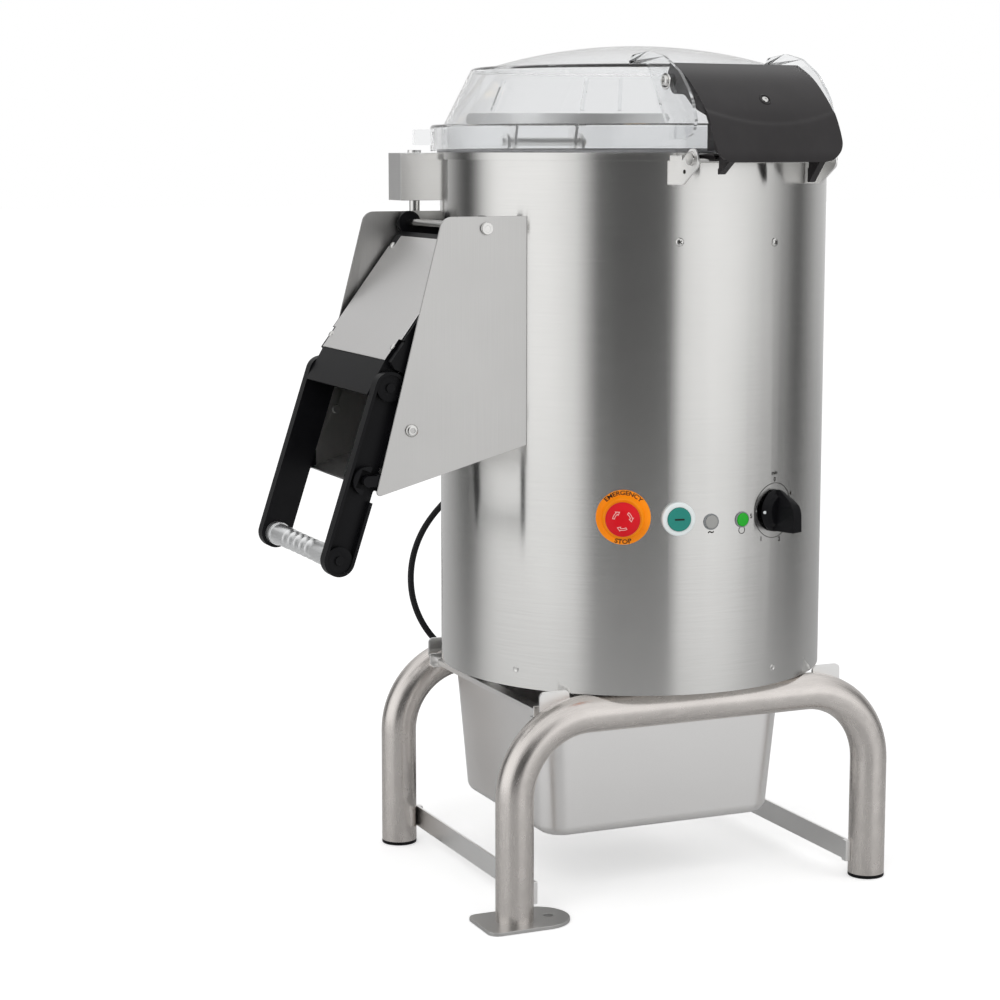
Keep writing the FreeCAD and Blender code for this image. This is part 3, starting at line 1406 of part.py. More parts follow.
def mains_plug(start):
    """Two-pin plug lying on its side, its tapered sleeve on the lead."""
    def turned_x(corners):
        edges = outline_edges(corners, lambda p: Vector(start.x + p.y, start.y, start.z + p.x))
        return Part.Face(Part.Wire(edges)).revolve(start, Vector(1, 0, 0), 360)
    body = turned_x([(0, 0), (lead_r + 1, 0), (plug_relief_r, plug_relief_l),
                     (plug_r - 6, plug_relief_l + 3, 3),
                     (plug_r, plug_relief_l + 14, 6), (plug_r, plug_relief_l + plug_l, 1.5),
                     (0, plug_relief_l + plug_l)])
    face_x = start.x + plug_relief_l + plug_l
    for side in (-1, 1):
        y = start.y + side * plug_pin_gap / 2
        pin = rod(plug_pin_r, Vector(face_x - 2, y, start.z), Vector(face_x + plug_pin_l, y, start.z))
        body = body.fuse(pin)
    return body.removeSplitter()


# Stand
save("front_leg_frame", leg_frame(-half_y))
save("rear_leg_frame", leg_frame(half_y))
save("left_stretcher_bar", stretcher_bar(-1))
save("right_stretcher_bar", stretcher_bar(1))
front_anchor = anchor_plate()
save("front_anchor_plate", front_anchor)
save("rear_anchor_plate", turn(front_anchor, 180))
save("front_foot_cap", foot_cap(half_x, -half_y))
save("rear_foot_cap", foot_cap(-half_x, half_y))
save("front_drum_clips", Part.makeCompound([drum_clip(-1, -1), drum_clip(1, -1)]))
save("rear_drum_clips", Part.makeCompound([drum_clip(-1, 1), drum_clip(1, 1)]))
save("front_pan_rail", pan_rail(-1))
save("rear_pan_rail", pan_rail(1))
save("peelings_pan", peelings_pan())

# Drum and what is built into it
save("drum_shell", drum_shell())
save("drum_base_plate", base_plate())
save("motor_shelf", motor_shelf())
save("chamber_floor", chamber_floor())
save("chamber_liner", liner())
seal_r = drum_r + bead_out - 0.5
save("rim_seal", ring(seal_r, seal_r - seal_w, drum_top_z, drum_top_z + seal_h))
spout = ring(spout_r, spout_r - spout_t, spout_end_z, floor_top_z - floor_t)
spout.translate(Vector(spout_x, spout_y, 0))
save("waste_spout", spout)

# Drive
save("motor", motor())
save("bearing_housing", bearing_housing())
save("disc_shaft", post(shaft_r, 0, 0, shaft_bottom_z, disc_bottom_z + disc_t))
save("disc_pulley", disc_pulley())
save("motor_pulley", motor_pulley())
save("drive_belt", drive_belt())
save("peeling_disc", peeling_disc())

# Chute and discharge door
save("chute_front_cheek", cheek(-1))
save("chute_rear_cheek", cheek(1))
save("chute_floor", chute_floor())
save("catch_blocks", Part.makeCompound([catch_block(-1), catch_block(1)]))
save("door_frame", door_frame())
save("door_cover_plate", cover_plate())
save("door_hinge_rod", hinge_rod())
save("front_handle_arm", handle_arm(-1))
save("rear_handle_arm", handle_arm(1))
save("handle_grip", handle_grip())
save("interlock_box", interlock_box())
save("interlock_rod", post(lock_rod_r, lock_rod_x, lock_rod_y, lock_rod_bottom_z, lock_rod_top_z))

# Lid
save("lid_dome", lid_dome())
save("lid_handle", lid_handle())
save("lid_hinge_arms", lid_hinge_arms())
save("lid_hinge_bracket", lid_hinge_bracket())
save("left_keeper_bracket", keeper_bracket(-1))
save("right_keeper_bracket", keeper_bracket(1))
save("keeper_rod", keeper_rod())

# Controls
save("stop_collar", stop_collar())
save("stop_button", stop_button())
save("start_bezel", start_bezel())
save("start_button", start_button())
save("supply_lamp", lamp(supply_azimuth))
save("running_lamp", lamp(running_azimuth))
save("timer_body", timer_body())
save("timer_knob", timer_knob())
save("control_box", control_box())
save("water_inlet", water_inlet())

# Mains lead
save("cable_gland", cable_gland())
route = lead_points()
bends = lead_radii(route)
lead_path = bent_path(route, bends)
lead = pipe(lead_path, lead_r)
save("mains_lead", lead)
loops, loops_end = coil_edges()
coil = pipe(loops, lead_r)
save("lead_coil", coil)
save("mains_plug", mains_plug(loops_end))
free_l = sum(edge.Length for edge in lead_path)
coil_l = sum(edge.Length for edge in loops)
section = math.pi * lead_r ** 2
print("lead radii", [round(radius) for radius in bends])
print("lead length", round(free_l), "volume ratio", round(lead.Volume / (section * free_l), 4))
print("coil length", round(coil_l), "volume ratio", round(coil.Volume / (section * coil_l), 4))
print("least gap in the coil", round(coil_gap(loops), 2))
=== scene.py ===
# %% [markdown]
# The electric potato peeler is dressed here, one piece at a time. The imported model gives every
# solid at its true size and place. Loading it first means that each new surface can be put
# where the solids are, with no fitting by eye.

# %% Load the frame
import json
import math

import bmesh
import bpy
import numpy as np
from mathutils import Matrix, Vector


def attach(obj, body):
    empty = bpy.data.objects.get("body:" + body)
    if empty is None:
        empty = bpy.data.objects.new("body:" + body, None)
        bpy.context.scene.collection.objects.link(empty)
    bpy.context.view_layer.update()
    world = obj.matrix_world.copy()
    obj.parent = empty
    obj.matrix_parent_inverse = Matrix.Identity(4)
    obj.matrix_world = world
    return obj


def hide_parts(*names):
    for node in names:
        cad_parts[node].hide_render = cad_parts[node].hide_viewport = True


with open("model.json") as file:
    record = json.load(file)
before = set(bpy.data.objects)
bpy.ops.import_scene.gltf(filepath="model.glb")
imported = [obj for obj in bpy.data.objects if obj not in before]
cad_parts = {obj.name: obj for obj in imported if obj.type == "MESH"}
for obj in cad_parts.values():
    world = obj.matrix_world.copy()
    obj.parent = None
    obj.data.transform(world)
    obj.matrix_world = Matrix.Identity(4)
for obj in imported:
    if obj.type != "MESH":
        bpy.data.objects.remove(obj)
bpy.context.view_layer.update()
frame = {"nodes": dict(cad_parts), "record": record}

scene = bpy.context.scene

# %% [markdown]
# A photograph is matched by its camera before anything else. The lens is long, so the upright
# lines stay upright, and it stands a little to the left of the controls and looks slightly down.

# %% Camera
camera_place = Vector((-1.274, -2.522, 0.849))
camera_turn_deg = -23.69
camera_dip_deg = 8.34
camera_lens_mm = 86.94



def placed(name, data):
    """A new object with this data, in the scene."""
    made = bpy.data.objects.new(name, data)
    scene.collection.objects.link(made)
    return made


camera_data = bpy.data.cameras.new("photo_camera")
camera_data.lens = camera_lens_mm
camera_data.sensor_width = 36.0
camera_data.clip_end = 60.0
camera = placed("photo_camera", camera_data)
camera.location = camera_place
camera.rotation_euler = (math.radians(90 - camera_dip_deg), 0, math.radians(camera_turn_deg))
scene.camera = camera
print("lens to the drum's axis:", round(camera_place.xy.length, 2), "m")

# %% [markdown]
# Steel has no colour of its own to speak of: it shows the room. A drum like this one is
# photographed between two tall soft boxes, with darker room between and behind them, and that is
# what draws the upright bands on it. The world carries that room as a ring of light and dark by
# compass angle. Matt surfaces see an even light instead, and the lens sees white.

# %% Studio world
scene.view_settings.view_transform = "Standard"

toward_camera = math.atan2(camera_place.y, camera_place.x)
# Degrees from the camera's side, and the brightness there: at the lens's height, and low.
room_by_angle = [
    (-180, 0.62), (-150, 0.55), (-132, 0.30), (-118, 0.055), (-108, 0.08), (-97, 0.72),
    (-84, 1.0), (-50, 0.97), (-33, 0.76), (-26, 0.45), (-19, 0.085), (0, 0.075), (18, 0.085),
    (24, 0.20), (30, 0.86), (50, 0.95), (74, 0.88), (90, 0.60), (103, 0.32), (113, 0.10),
    (122, 0.17), (140, 0.50), (180, 0.62),
]
low_room_by_angle = [
    (-180, 0.45), (-150, 0.42), (-132, 0.28), (-118, 0.055), (-108, 0.08), (-97, 0.55),
    (-84, 0.84), (-50, 0.98), (-33, 0.80), (-26, 0.45), (-19, 0.085), (0, 0.075), (18, 0.085),
    (24, 0.20), (30, 0.82), (50, 0.95), (60, 0.82), (68, 0.62), (76, 0.40), (86, 0.24),
    (96, 0.05), (113, 0.0), (130, 0.08), (180, 0.45),
]
low_takes_over = [(0.02, 0.0), (0.21, 1.0)]
overhead_takes_over = [(0.35, 0.0), (0.75, 1.0)]
overhead_grey = (0.8, 0.8, 0.8, 1)
white = (1, 1, 1, 1)
shiny_strength, even_strength, lens_strength = 1.12, 0.82, 1.0


def feed(tree, socket, source):
    """Give a socket its value, or link it to another node's output."""
    if isinstance(source, bpy.types.NodeSocket):
        tree.links.new(source, socket)
    else:
        socket.default_value = source


def node(tree, kind, **settings):
    """A shader node with its settings, and a value or a link for each socket that is named."""
    made = tree.nodes.new(kind)
    for key, value in settings.items():
        if hasattr(made, key):
            setattr(made, key, value)
        else:
            feed(tree, made.inputs[key.replace("_", " ")], value)
    return made


def first_out(tree, made, *sources):
    """Feed a node's sockets in their order and return its first output."""
    for socket, source in zip(made.inputs, sources):
        feed(tree, socket, source)
    return made.outputs[0]


def math_node(tree, operation, *operands):
    """One sum: each operand is a number or an output socket."""
    return first_out(tree, node(tree, "ShaderNodeMath", operation=operation), *operands)


def mixed(tree, kind, factor, first, second):
    """Mix two colours or two shaders: the factor is the share of the second."""
    return first_out(tree, node(tree, kind), factor, first, second)


def ramp_node(tree, factor, stops, interpolation="LINEAR"):
    """A colour ramp from (position, grey or colour) stops."""
    made = node(tree, "ShaderNodeValToRGB", Fac=factor)
    made.color_ramp.interpolation = interpolation
    elements = made.color_ramp.elements
    elements.remove(elements[1])
    for index, (position, shade) in enumerate(stops):
        element = elements[0] if index == 0 else elements.new(position)
        element.position = position
        element.color = (shade, shade, shade, 1) if isinstance(shade, (int, float)) else (*shade, 1)
    return made.outputs["Color"]


world = bpy.data.worlds.new("studio")
scene.world = world
world.use_nodes = True
world.cycles.sampling_method = "NONE"
sky = world.node_tree
sky.nodes.clear()
direction = node(sky, "ShaderNodeTexCoord").outputs["Generated"]
parts = node(sky, "ShaderNodeSeparateXYZ", Vector=direction)
compass = math_node(sky, "ARCTAN2", parts.outputs["Y"], parts.outputs["X"])
turned_back = math_node(sky, "SUBTRACT", compass, toward_camera)
whole_turns = math_node(sky, "DIVIDE", turned_back, 2 * math.pi)
centred = math_node(sky, "FRACT", math_node(sky, "ADD", whole_turns, 0.5))
level_ring, low_ring = [
    ramp_node(sky, centred, [(0.5 + angle / 360, level) for angle, level in stops], "B_SPLINE")
    for stops in (room_by_angle, low_room_by_angle)]
below = math_node(sky, "MULTIPLY", parts.outputs["Z"], -1.0)
ring = mixed(sky, "ShaderNodeMixRGB", ramp_node(sky, below, low_takes_over), level_ring, low_ring)
overhead = ramp_node(sky, parts.outputs["Z"], overhead_takes_over)
room = mixed(sky, "ShaderNodeMixRGB", overhead, ring, overhead_grey)
shiny_light, even_light, lens_light = [
    first_out(sky, node(sky, "ShaderNodeBackground"), colour, strength) for colour, strength in
    ((room, shiny_strength), (white, even_strength), (white, lens_strength))]
path = node(sky, "ShaderNodeLightPath").outputs
lit = mixed(sky, "ShaderNodeMixShader", path["Is Glossy Ray"], even_light, shiny_light)
through_clear = math_node(sky, "MINIMUM", path["Transmission Depth"], 1.0)
seen = math_node(sky, "MAXIMUM", path["Is Camera Ray"], through_clear)
node(sky, "ShaderNodeOutputWorld", Surface=mixed(sky, "ShaderNodeMixShader", seen, lit, lens_light))

# %% [markdown]
# The floor is a plain pale sheet. It takes the machine's shadow like any floor, and glows a little
# for the lens, so that it reads as white paper. In the steel it shows darker and fades out with
# distance, because the room takes over there.

# %% Floor
floor_half, floor_z = 30.0, -0.0004
paper_grey, mirrored_grey, paper_glow = 0.80, 0.56, 0.42
sheet_reach = 8.0
sheet_fade = [(0.0, 0.0), (0.06, 0.12), (0.19, 0.50), (0.25, 0.60), (0.50, 0.84), (0.79, 0.95),
              (1.0, 1.0)]


def new_material(name):
    """A material with an empty node tree."""
    made = bpy.data.materials.new(name)
    made.use_nodes = True
    made.node_tree.nodes.clear()
    return made


def floor_material():
    """Paper that glows for the lens and turns clear for reflections far out."""
    made = new_material("white_paper")
    tree = made.node_tree
    rays = node(tree, "ShaderNodeLightPath").outputs
    grey = ramp_node(tree, rays["Is Glossy Ray"], [(0.0, paper_grey), (1.0, mirrored_grey)])
    paper = node(tree, "ShaderNodeBsdfDiffuse", Color=grey)
    looked_at = math_node(tree, "MAXIMUM", rays["Is Camera Ray"], rays["Is Transmission Ray"])
    glow = math_node(tree, "MULTIPLY", looked_at, paper_glow)
    light = node(tree, "ShaderNodeEmission", Strength=glow)
    both = first_out(tree, node(tree, "ShaderNodeAddShader"), paper.outputs[0], light.outputs[0])
    where = node(tree, "ShaderNodeTexCoord").outputs["Object"]
    reach = node(tree, "ShaderNodeVectorMath", operation="LENGTH", Vector=where)
    share = math_node(tree, "DIVIDE", reach.outputs["Value"], sheet_reach)
    faded = math_node(tree, "MULTIPLY", ramp_node(tree, share, sheet_fade), rays["Is Glossy Ray"])
    nothing = node(tree, "ShaderNodeBsdfTransparent").outputs[0]
    surface = mixed(tree, "ShaderNodeMixShader", faded, both, nothing)
    node(tree, "ShaderNodeOutputMaterial", Surface=surface)
    return made


floor_mesh = bpy.data.meshes.new("floor")
floor_corners = [(x * floor_half, y * floor_half, floor_z)
                 for x, y in ((-1, -1), (1, -1), (1, 1), (-1, 1))]
floor_mesh.from_pydata(floor_corners, [], [(0, 1, 2, 3)])
floor = placed("floor", floor_mesh)
floor_mesh.materials.append(floor_material())
print("paper:", 2 * floor_half, "m across")

# %% [markdown]
# A large soft lamp high on the left gives the matt pieces a lit side, and a weaker one on the
# right fills it in. Both are kept out of the reflections, because the world already holds the
# soft boxes that the steel should show.

# %% Lamps
lamp_aim = Vector((0, 0, 0.45))


def soft_lamp(name, place, size, watts):
    """A rectangular lamp that faces the middle of the machine."""
    data = bpy.data.lights.new(name, "AREA")
    data.shape = "RECTANGLE"
    data.size, data.size_y = size
    data.energy = watts
    lamp = placed(name, data)
    lamp.location = place
    lamp.rotation_euler = (lamp_aim - Vector(place)).to_track_quat("-Z", "Y").to_euler()
    lamp.visible_glossy = False


soft_lamp("left_box", (-2.6, -2.2, 2.6), (1.6, 2.2), 34)
soft_lamp("right_box", (2.4, -2.4, 2.0), (1.4, 2.2), 16)
print("lamps:", sorted(lamp.name for lamp in bpy.data.lights))

# %% [markdown]
# Every shape below is a grid of points worked out with numpy and turned into quads in one go.
# A profile that is spun round an axis, or an outline that is given a thickness, is the same grid
# with different formulas, so three helpers make nearly all the new pieces.

# %% Shape helpers
weld_within = 1e-6
sharp_deg = 32
edge_round = 0.0006


def finish_mesh(name, points, faces, smooth_deg=35):
    """Make an object from points and faces, weld it, turn its faces outwards and smooth it."""
    mesh = bpy.data.meshes.new(name)
    mesh.from_pydata(np.asarray(points, float).reshape(-1, 3).tolist(), [], faces)
    work = bmesh.new()
    work.from_mesh(mesh)
    bmesh.ops.remove_doubles(work, verts=work.verts, dist=weld_within)
    bmesh.ops.dissolve_degenerate(work, edges=work.edges, dist=1e-7)
    bmesh.ops.recalc_face_normals(work, faces=work.faces)
    work.to_mesh(mesh)
    work.free()
    made = placed(name, mesh)
    mesh.shade_smooth()
    mesh.set_sharp_from_angle(angle=math.radians(smooth_deg))
    return made


def grid_faces(rows, columns, wrap_rows=False):
    """Quads between neighbours of a rows by columns grid of points, as index quadruples. Each row
    closes on itself."""
    first, second = np.meshgrid(np.arange(rows if wrap_rows else rows - 1),
                                np.arange(columns), indexing="ij")
    down = (first + 1) % rows
    right = (second + 1) % columns
    corners = [first * columns + second, first * columns + right,
               down * columns + right, down * columns + second]
    return np.stack(corners, -1).reshape(-1, 4).tolist()


def spun(name, profile, around=128, smooth_deg=35):
    """Spin (radius, height) points round Z: x = r cos t, y = r sin t, z = h. Closed at both ends
    where the radius is 0, or as a loop where the profile returns to its first point."""
    profile = np.asarray(profile, float)
    angle = np.linspace(0, 2 * np.pi, around, endpoint=False)
    radius, height = profile[:, :1], profile[:, 1:2]
    points = np.stack([radius * np.cos(angle), radius * np.sin(angle), height + 0 * angle], -1)
    return finish_mesh(name, points, grid_faces(len(profile), around), smooth_deg)


def rounded(corners, steps=6):
    """An outline from (a, b) or (a, b, radius) corners: each rounded corner is a circular arc
    tangent to both its sides, its centre at radius / sin(half the angle) along the bisector."""
    count = len(corners)
    outline = []
    for index, corner in enumerate(corners):
        here = np.array(corner[:2], float)
        radius = corner[2] if len(corner) > 2 else 0
        if radius == 0:
            outline.append(here[None])
            continue
        back = np.array(corners[index - 1][:2], float) - here
        ahead = np.array(corners[(index + 1) % count][:2], float) - here
        back /= np.linalg.norm(back)
        ahead /= np.linalg.norm(ahead)
        half = math.acos(np.clip(back @ ahead, -1, 1)) / 2
        middle = (back + ahead) / np.linalg.norm(back + ahead)
        centre = here + middle * radius / math.sin(half)
        start = here + back * radius / math.tan(half) - centre
        end = here + ahead * radius / math.tan(half) - centre
        sweep = math.pi - 2 * half
        turn = np.linspace(0, 1, steps + 1)[:, None] * sweep
        arc = start * np.sin(sweep - turn) + end * np.sin(turn)
        outline.append(centre + arc / math.sin(sweep))
    return np.concatenate(outline)


def slab(name, outline, low, high):
    """Give an (a, b) outline a thickness along the third axis."""
    outline = np.asarray(outline, float)
    count = len(outline)
    points = np.stack([np.column_stack([outline, np.full(count, level)]) for level in (low, high)])
    faces = grid_faces(2, count) + [list(range(count)), list(range(count, 2 * count))]
    return finish_mesh(name, points, faces)


def soften(made, width=edge_round):
    """Round the sharp edges of a piece, which is what catches the light on a real one."""
    bevel = made.modifiers.new("soft_edges", "BEVEL")
    bevel.width = width
    bevel.segments = 2
    bevel.limit_method = "ANGLE"
    bevel.angle_limit = math.radians(sharp_deg)
    bevel.harden_normals = True


def put(made, origin, out):
    """Carry a piece made about Z to its place: its Z axis goes along out, its Y axis upwards."""
    z_axis = Vector(out).normalized()
    x_axis = Vector((0, 0, 1)).cross(z_axis).normalized()
    y_axis = z_axis.cross(x_axis)
    turn = Matrix((x_axis, y_axis, z_axis)).transposed().to_4x4()
    made.data.transform(Matrix.Translation(Vector(origin)) @ turn)
    return made


def out_from_drum(azimuth_deg):
    """The outward direction of the drum's wall, by azimuth from the front."""
    angle = math.radians(azimuth_deg)
    return Vector((math.sin(angle), -math.cos(angle), 0))


def point_at(way, distance, height):
    """The point so far out along a level direction and so high."""
    return way * distance + Vector((0, 0, height))


def finished(made, material, body, *nodes):
    """Give a piece its material and its body, and hide the solids that it stands for."""
    made.data.materials.append(material)
    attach(made, body)
    if nodes:
        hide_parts(*nodes)


def joined(pieces, name, material, body="stand_and_drum", *nodes, edge=0):
    """Join several meshes into one finished piece, with rounded edges if it is moulded."""
    work = bmesh.new()
    for piece in pieces:
        work.from_mesh(piece.data)
        bpy.data.objects.remove(piece)
    mesh = bpy.data.meshes.new(name)
    work.to_mesh(mesh)
    work.free()
    made = placed(name, mesh)
    if edge:
        soften(made, edge)
    finished(made, material, body, *nodes)


# %% [markdown]
# Brushed stainless steel is nearly all reflection, smeared at right angles to the brush lines.
# The lines themselves are a noise stretched a hundredfold along the brushing, which varies the
# roughness and the height a little. Sheet, drum and tube differ in which way they were brushed
# and in tint, so one function makes them all. The sheet's darker tint is painted shade: it stands
# in for the shade that nearby parts cast on the chute's cheeks.

# %% Steel
steel_tint = (0.73, 0.725, 0.71)


def stretched_noise(tree, scale, detail=3.0):
    """Noise on object coordinates, scaled differently along x, y and z."""
    where = node(tree, "ShaderNodeTexCoord").outputs["Object"]
    stretched = node(tree, "ShaderNodeMapping", Vector=where, Scale=scale).outputs[0]
    noise = node(tree, "ShaderNodeTexNoise", Vector=stretched, Scale=1.0, Detail=detail,
                 Roughness=0.6)
    return noise.outputs["Fac"]


def swinging(tree, noise, middle, reach):
    """A value that follows a noise: value = middle + 2 reach (noise - 1/2)."""
    swing = math_node(tree, "MULTIPLY", math_node(tree, "SUBTRACT", noise, 0.5), reach * 2)
    return math_node(tree, "ADD", swing, middle)


def steel(name, brush, tint=steel_tint, rough=0.26, spread=0.08, smear=0.6, round_z=False,
          bump=0.05, cloud=0.06):
    """Metal with lines along its brushing: spread is how far they swing the roughness, smear
    draws reflections out across them, and cloud is how far the tint swings."""
    made = new_material(name)
    tree = made.node_tree
    lines = stretched_noise(tree, brush)
    patches = stretched_noise(tree, (5, 5, 5), detail=4.0)
    shade = math_node(tree, "ADD", math_node(tree, "MULTIPLY", lines, 0.5),
                      math_node(tree, "MULTIPLY", patches, 0.5))
    dark = tuple(c * (1 - cloud) for c in tint)
    bright = tuple(min(1, c * (1 + cloud)) for c in tint)
    height = node(tree, "ShaderNodeBump", Strength=bump, Distance=0.0002, Height=lines)
    metal = node(tree, "ShaderNodeBsdfPrincipled", Metallic=1.0, Anisotropic=smear,
                 Roughness=swinging(tree, lines, rough, spread), Normal=height.outputs[0],
                 Base_Color=ramp_node(tree, shade, [(0.3, dark), (0.7, bright)]))
    if round_z:
        metal.inputs["Anisotropic Rotation"].default_value = 0.25
        tangent = node(tree, "ShaderNodeTangent", direction_type="RADIAL", axis="Z")
        tree.links.new(tangent.outputs[0], metal.inputs["Tangent"])
    node(tree, "ShaderNodeOutputMaterial", Surface=metal.outputs[0])
    return made


drum_steel = steel("drum_steel", (14, 14, 2600), rough=0.17, spread=0.05, smear=0.85, bump=0.004,
                   round_z=True)
# The sheet's dark tint is painted shade: it stands in for the shade that nearby parts cast on the
# chute's cheeks. The anchor plates share it.
sheet_steel_painted_shade = steel("sheet_steel_painted_shade", (1400, 1400, 10), rough=0.34, smear=0.0,
                    tint=(0.60, 0.595, 0.585))
flat_steel = steel("flat_steel", (10, 10, 1800), rough=0.32, smear=0.0, cloud=0.04,
                   tint=(0.95, 0.945, 0.935))
tube_steel = steel("tube_steel", (60, 700, 60), rough=0.25, spread=0.12, smear=0.0, cloud=0.12,
                   tint=(0.74, 0.70, 0.67))
satin_steel = steel("satin_steel", (900, 900, 900), rough=0.36, smear=0.0, bump=0.03, cloud=0.03)
pan_steel = steel("pan_steel", (900, 900, 900), rough=0.34, smear=0.0, bump=0.03, cloud=0.03,
                  tint=(0.96, 0.95, 0.94))
bright_steel = steel("bright_steel", (300, 300, 300), rough=0.12, spread=0.03, smear=0.0, bump=0.01)
aluminium = steel("grip_aluminium", (500, 500, 500), rough=0.34, smear=0.0, cloud=0.02,
                  tint=(0.97, 0.98, 0.99))
inlet_brass = steel("inlet_brass", (400, 400, 400), rough=0.25, smear=0.0, tint=(0.70, 0.52, 0.24))

# %% [markdown]
# Moulded plastic is plain colour with a skin that is never quite even: a fine grain breaks up the
# gloss, and slow patches make some places shinier than others.

# %% Plastics and rubber


def plastic(name, colour, rough=0.38, grain=900, bump=0.06, patch=0.06, shine=0.2):
    """Plain colour with a fine grain, and slow patches that swing the roughness by patch."""
    made = new_material(name)
    tree = made.node_tree
    fine = stretched_noise(tree, (grain, grain, grain), detail=2.0)
    slow = stretched_noise(tree, (14, 14, 14), detail=4.0)
    deep = tuple(c * 0.9 for c in colour)
    light = tuple(min(1, c * 1.08 + 0.002) for c in colour)
    height = node(tree, "ShaderNodeBump", Strength=bump, Distance=0.0001, Height=fine)
    skin = node(tree, "ShaderNodeBsdfPrincipled", Specular_IOR_Level=shine,
                Roughness=swinging(tree, slow, rough, patch), Normal=height.outputs[0],
                Base_Color=ramp_node(tree, slow, [(0.35, deep), (0.65, light)]))
    node(tree, "ShaderNodeOutputMaterial", Surface=skin.outputs[0])
    return made


black_plastic = plastic("black_plastic", (0.004, 0.004, 0.005), rough=0.40, bump=0.10, shine=0.14)
gloss_black = plastic("gloss_black", (0.024, 0.022, 0.023), rough=0.17, bump=0.03, patch=0.05,
                      shine=0.25)
lead_rubber = plastic("lead_rubber", (0.012, 0.012, 0.013), rough=0.45)
belt_rubber = plastic("belt_rubber", (0.02, 0.02, 0.02), rough=0.7)
seal_rubber = plastic("seal_rubber", (0.20, 0.20, 0.205), rough=0.6)
legend_yellow = plastic("legend_yellow", (1.0, 0.28, 0.002), rough=0.42, bump=0.02)
stop_red = plastic("stop_red", (0.66, 0.004, 0.012), rough=0.30, bump=0.02)
start_green = plastic("start_green", (0.02, 0.22, 0.18), rough=0.34, bump=0.02)
bezel_white = plastic("bezel_white", (0.72, 0.76, 0.76), rough=0.28, bump=0.02)
# Black for print, and also for painted shade: the crosses in the drum screws and the holes in the
# keeper brackets are drawn in it.
print_and_shade_black = plastic("print_and_shade_black", (0.02, 0.018, 0.015), rough=0.6, bump=0.0)
arrow_pink = plastic("arrow_pink", (0.85, 0.45, 0.42), rough=0.5, bump=0.0)
abrasive_grit = plastic("abrasive_grit", (0.10, 0.10, 0.10), rough=0.85, grain=420, bump=0.9)
motor_grey = plastic("motor_grey", (0.24, 0.25, 0.26), rough=0.5, grain=300, bump=0.25)

# %% [markdown]
# The lid is clear polycarbonate, thin for its width, so what is behind it hardly shifts. A low
# index keeps it in its place, a hint of grey gives the walls their tone, and a clear coat adds the
# reflections of the real plastic.

# %% Clear plastic and lamp lenses


def one_shader(name, **sockets):
    """A material that is the same all over, with its values on one shader's sockets."""
    made = new_material(name)
    body = node(made.node_tree, "ShaderNodeBsdfPrincipled", **sockets)
    node(made.node_tree, "ShaderNodeOutputMaterial", Surface=body.outputs[0])
    return made


def lit_lens(name, colour, strength):
    """A lamp's lens: smooth, of one colour, with a faint light of its own."""
    return one_shader(name, Roughness=0.15, Base_Color=(*colour, 1), Emission_Color=(*colour, 1),
                      Emission_Strength=strength)


lid_clear = one_shader("lid_clear", Base_Color=(0.91, 0.915, 0.92, 1), Roughness=0.02, IOR=1.12,
                       Transmission_Weight=1.0, Coat_Weight=1.0, Coat_Roughness=0.04)
lens_green = lit_lens("lens_green", (0.0, 0.34, 0.006), 0.10)
lens_grey = lit_lens("lens_grey", (0.30, 0.30, 0.29), 0.02)
print("finishes:", len(bpy.data.materials))

# %% [markdown]
# Most solids already have their final shape. They only lack the small rounding that any cut,
# bent or moulded edge has. A welded copy of each with a narrow bevel stands in for it. The
# hidden solids, and those that are round all over, only get their finish.

# %% Edges for the solids
flat_within_deg = 0.5


def dressed(name, material):
    """A copy of a solid, welded, with rounded edges and its own finish, which replaces it."""
    mesh = frame["nodes"][name].data.copy()
    mesh.materials.clear()
    work = bmesh.new()
    work.from_mesh(mesh)
    bmesh.ops.remove_doubles(work, verts=work.verts, dist=weld_within)
    bmesh.ops.dissolve_limit(work, angle_limit=math.radians(flat_within_deg), verts=work.verts,
                             edges=work.edges)
    work.to_mesh(mesh)
    work.free()
    made = placed(name + "_piece", mesh)
    mesh.shade_smooth()
    mesh.set_sharp_from_angle(angle=math.radians(sharp_deg))
    soften(made)
    finished(made, material, body_of[name], name)


def painted(name, material):
    """A solid that stays as it is and gets its finish."""
    for slot in frame["nodes"][name].material_slots:
        slot.link = "OBJECT"
        slot.material = material


body_of = {name: body for body, names in frame["record"]["behaviour"]["bodies"].items()
           for name in names}

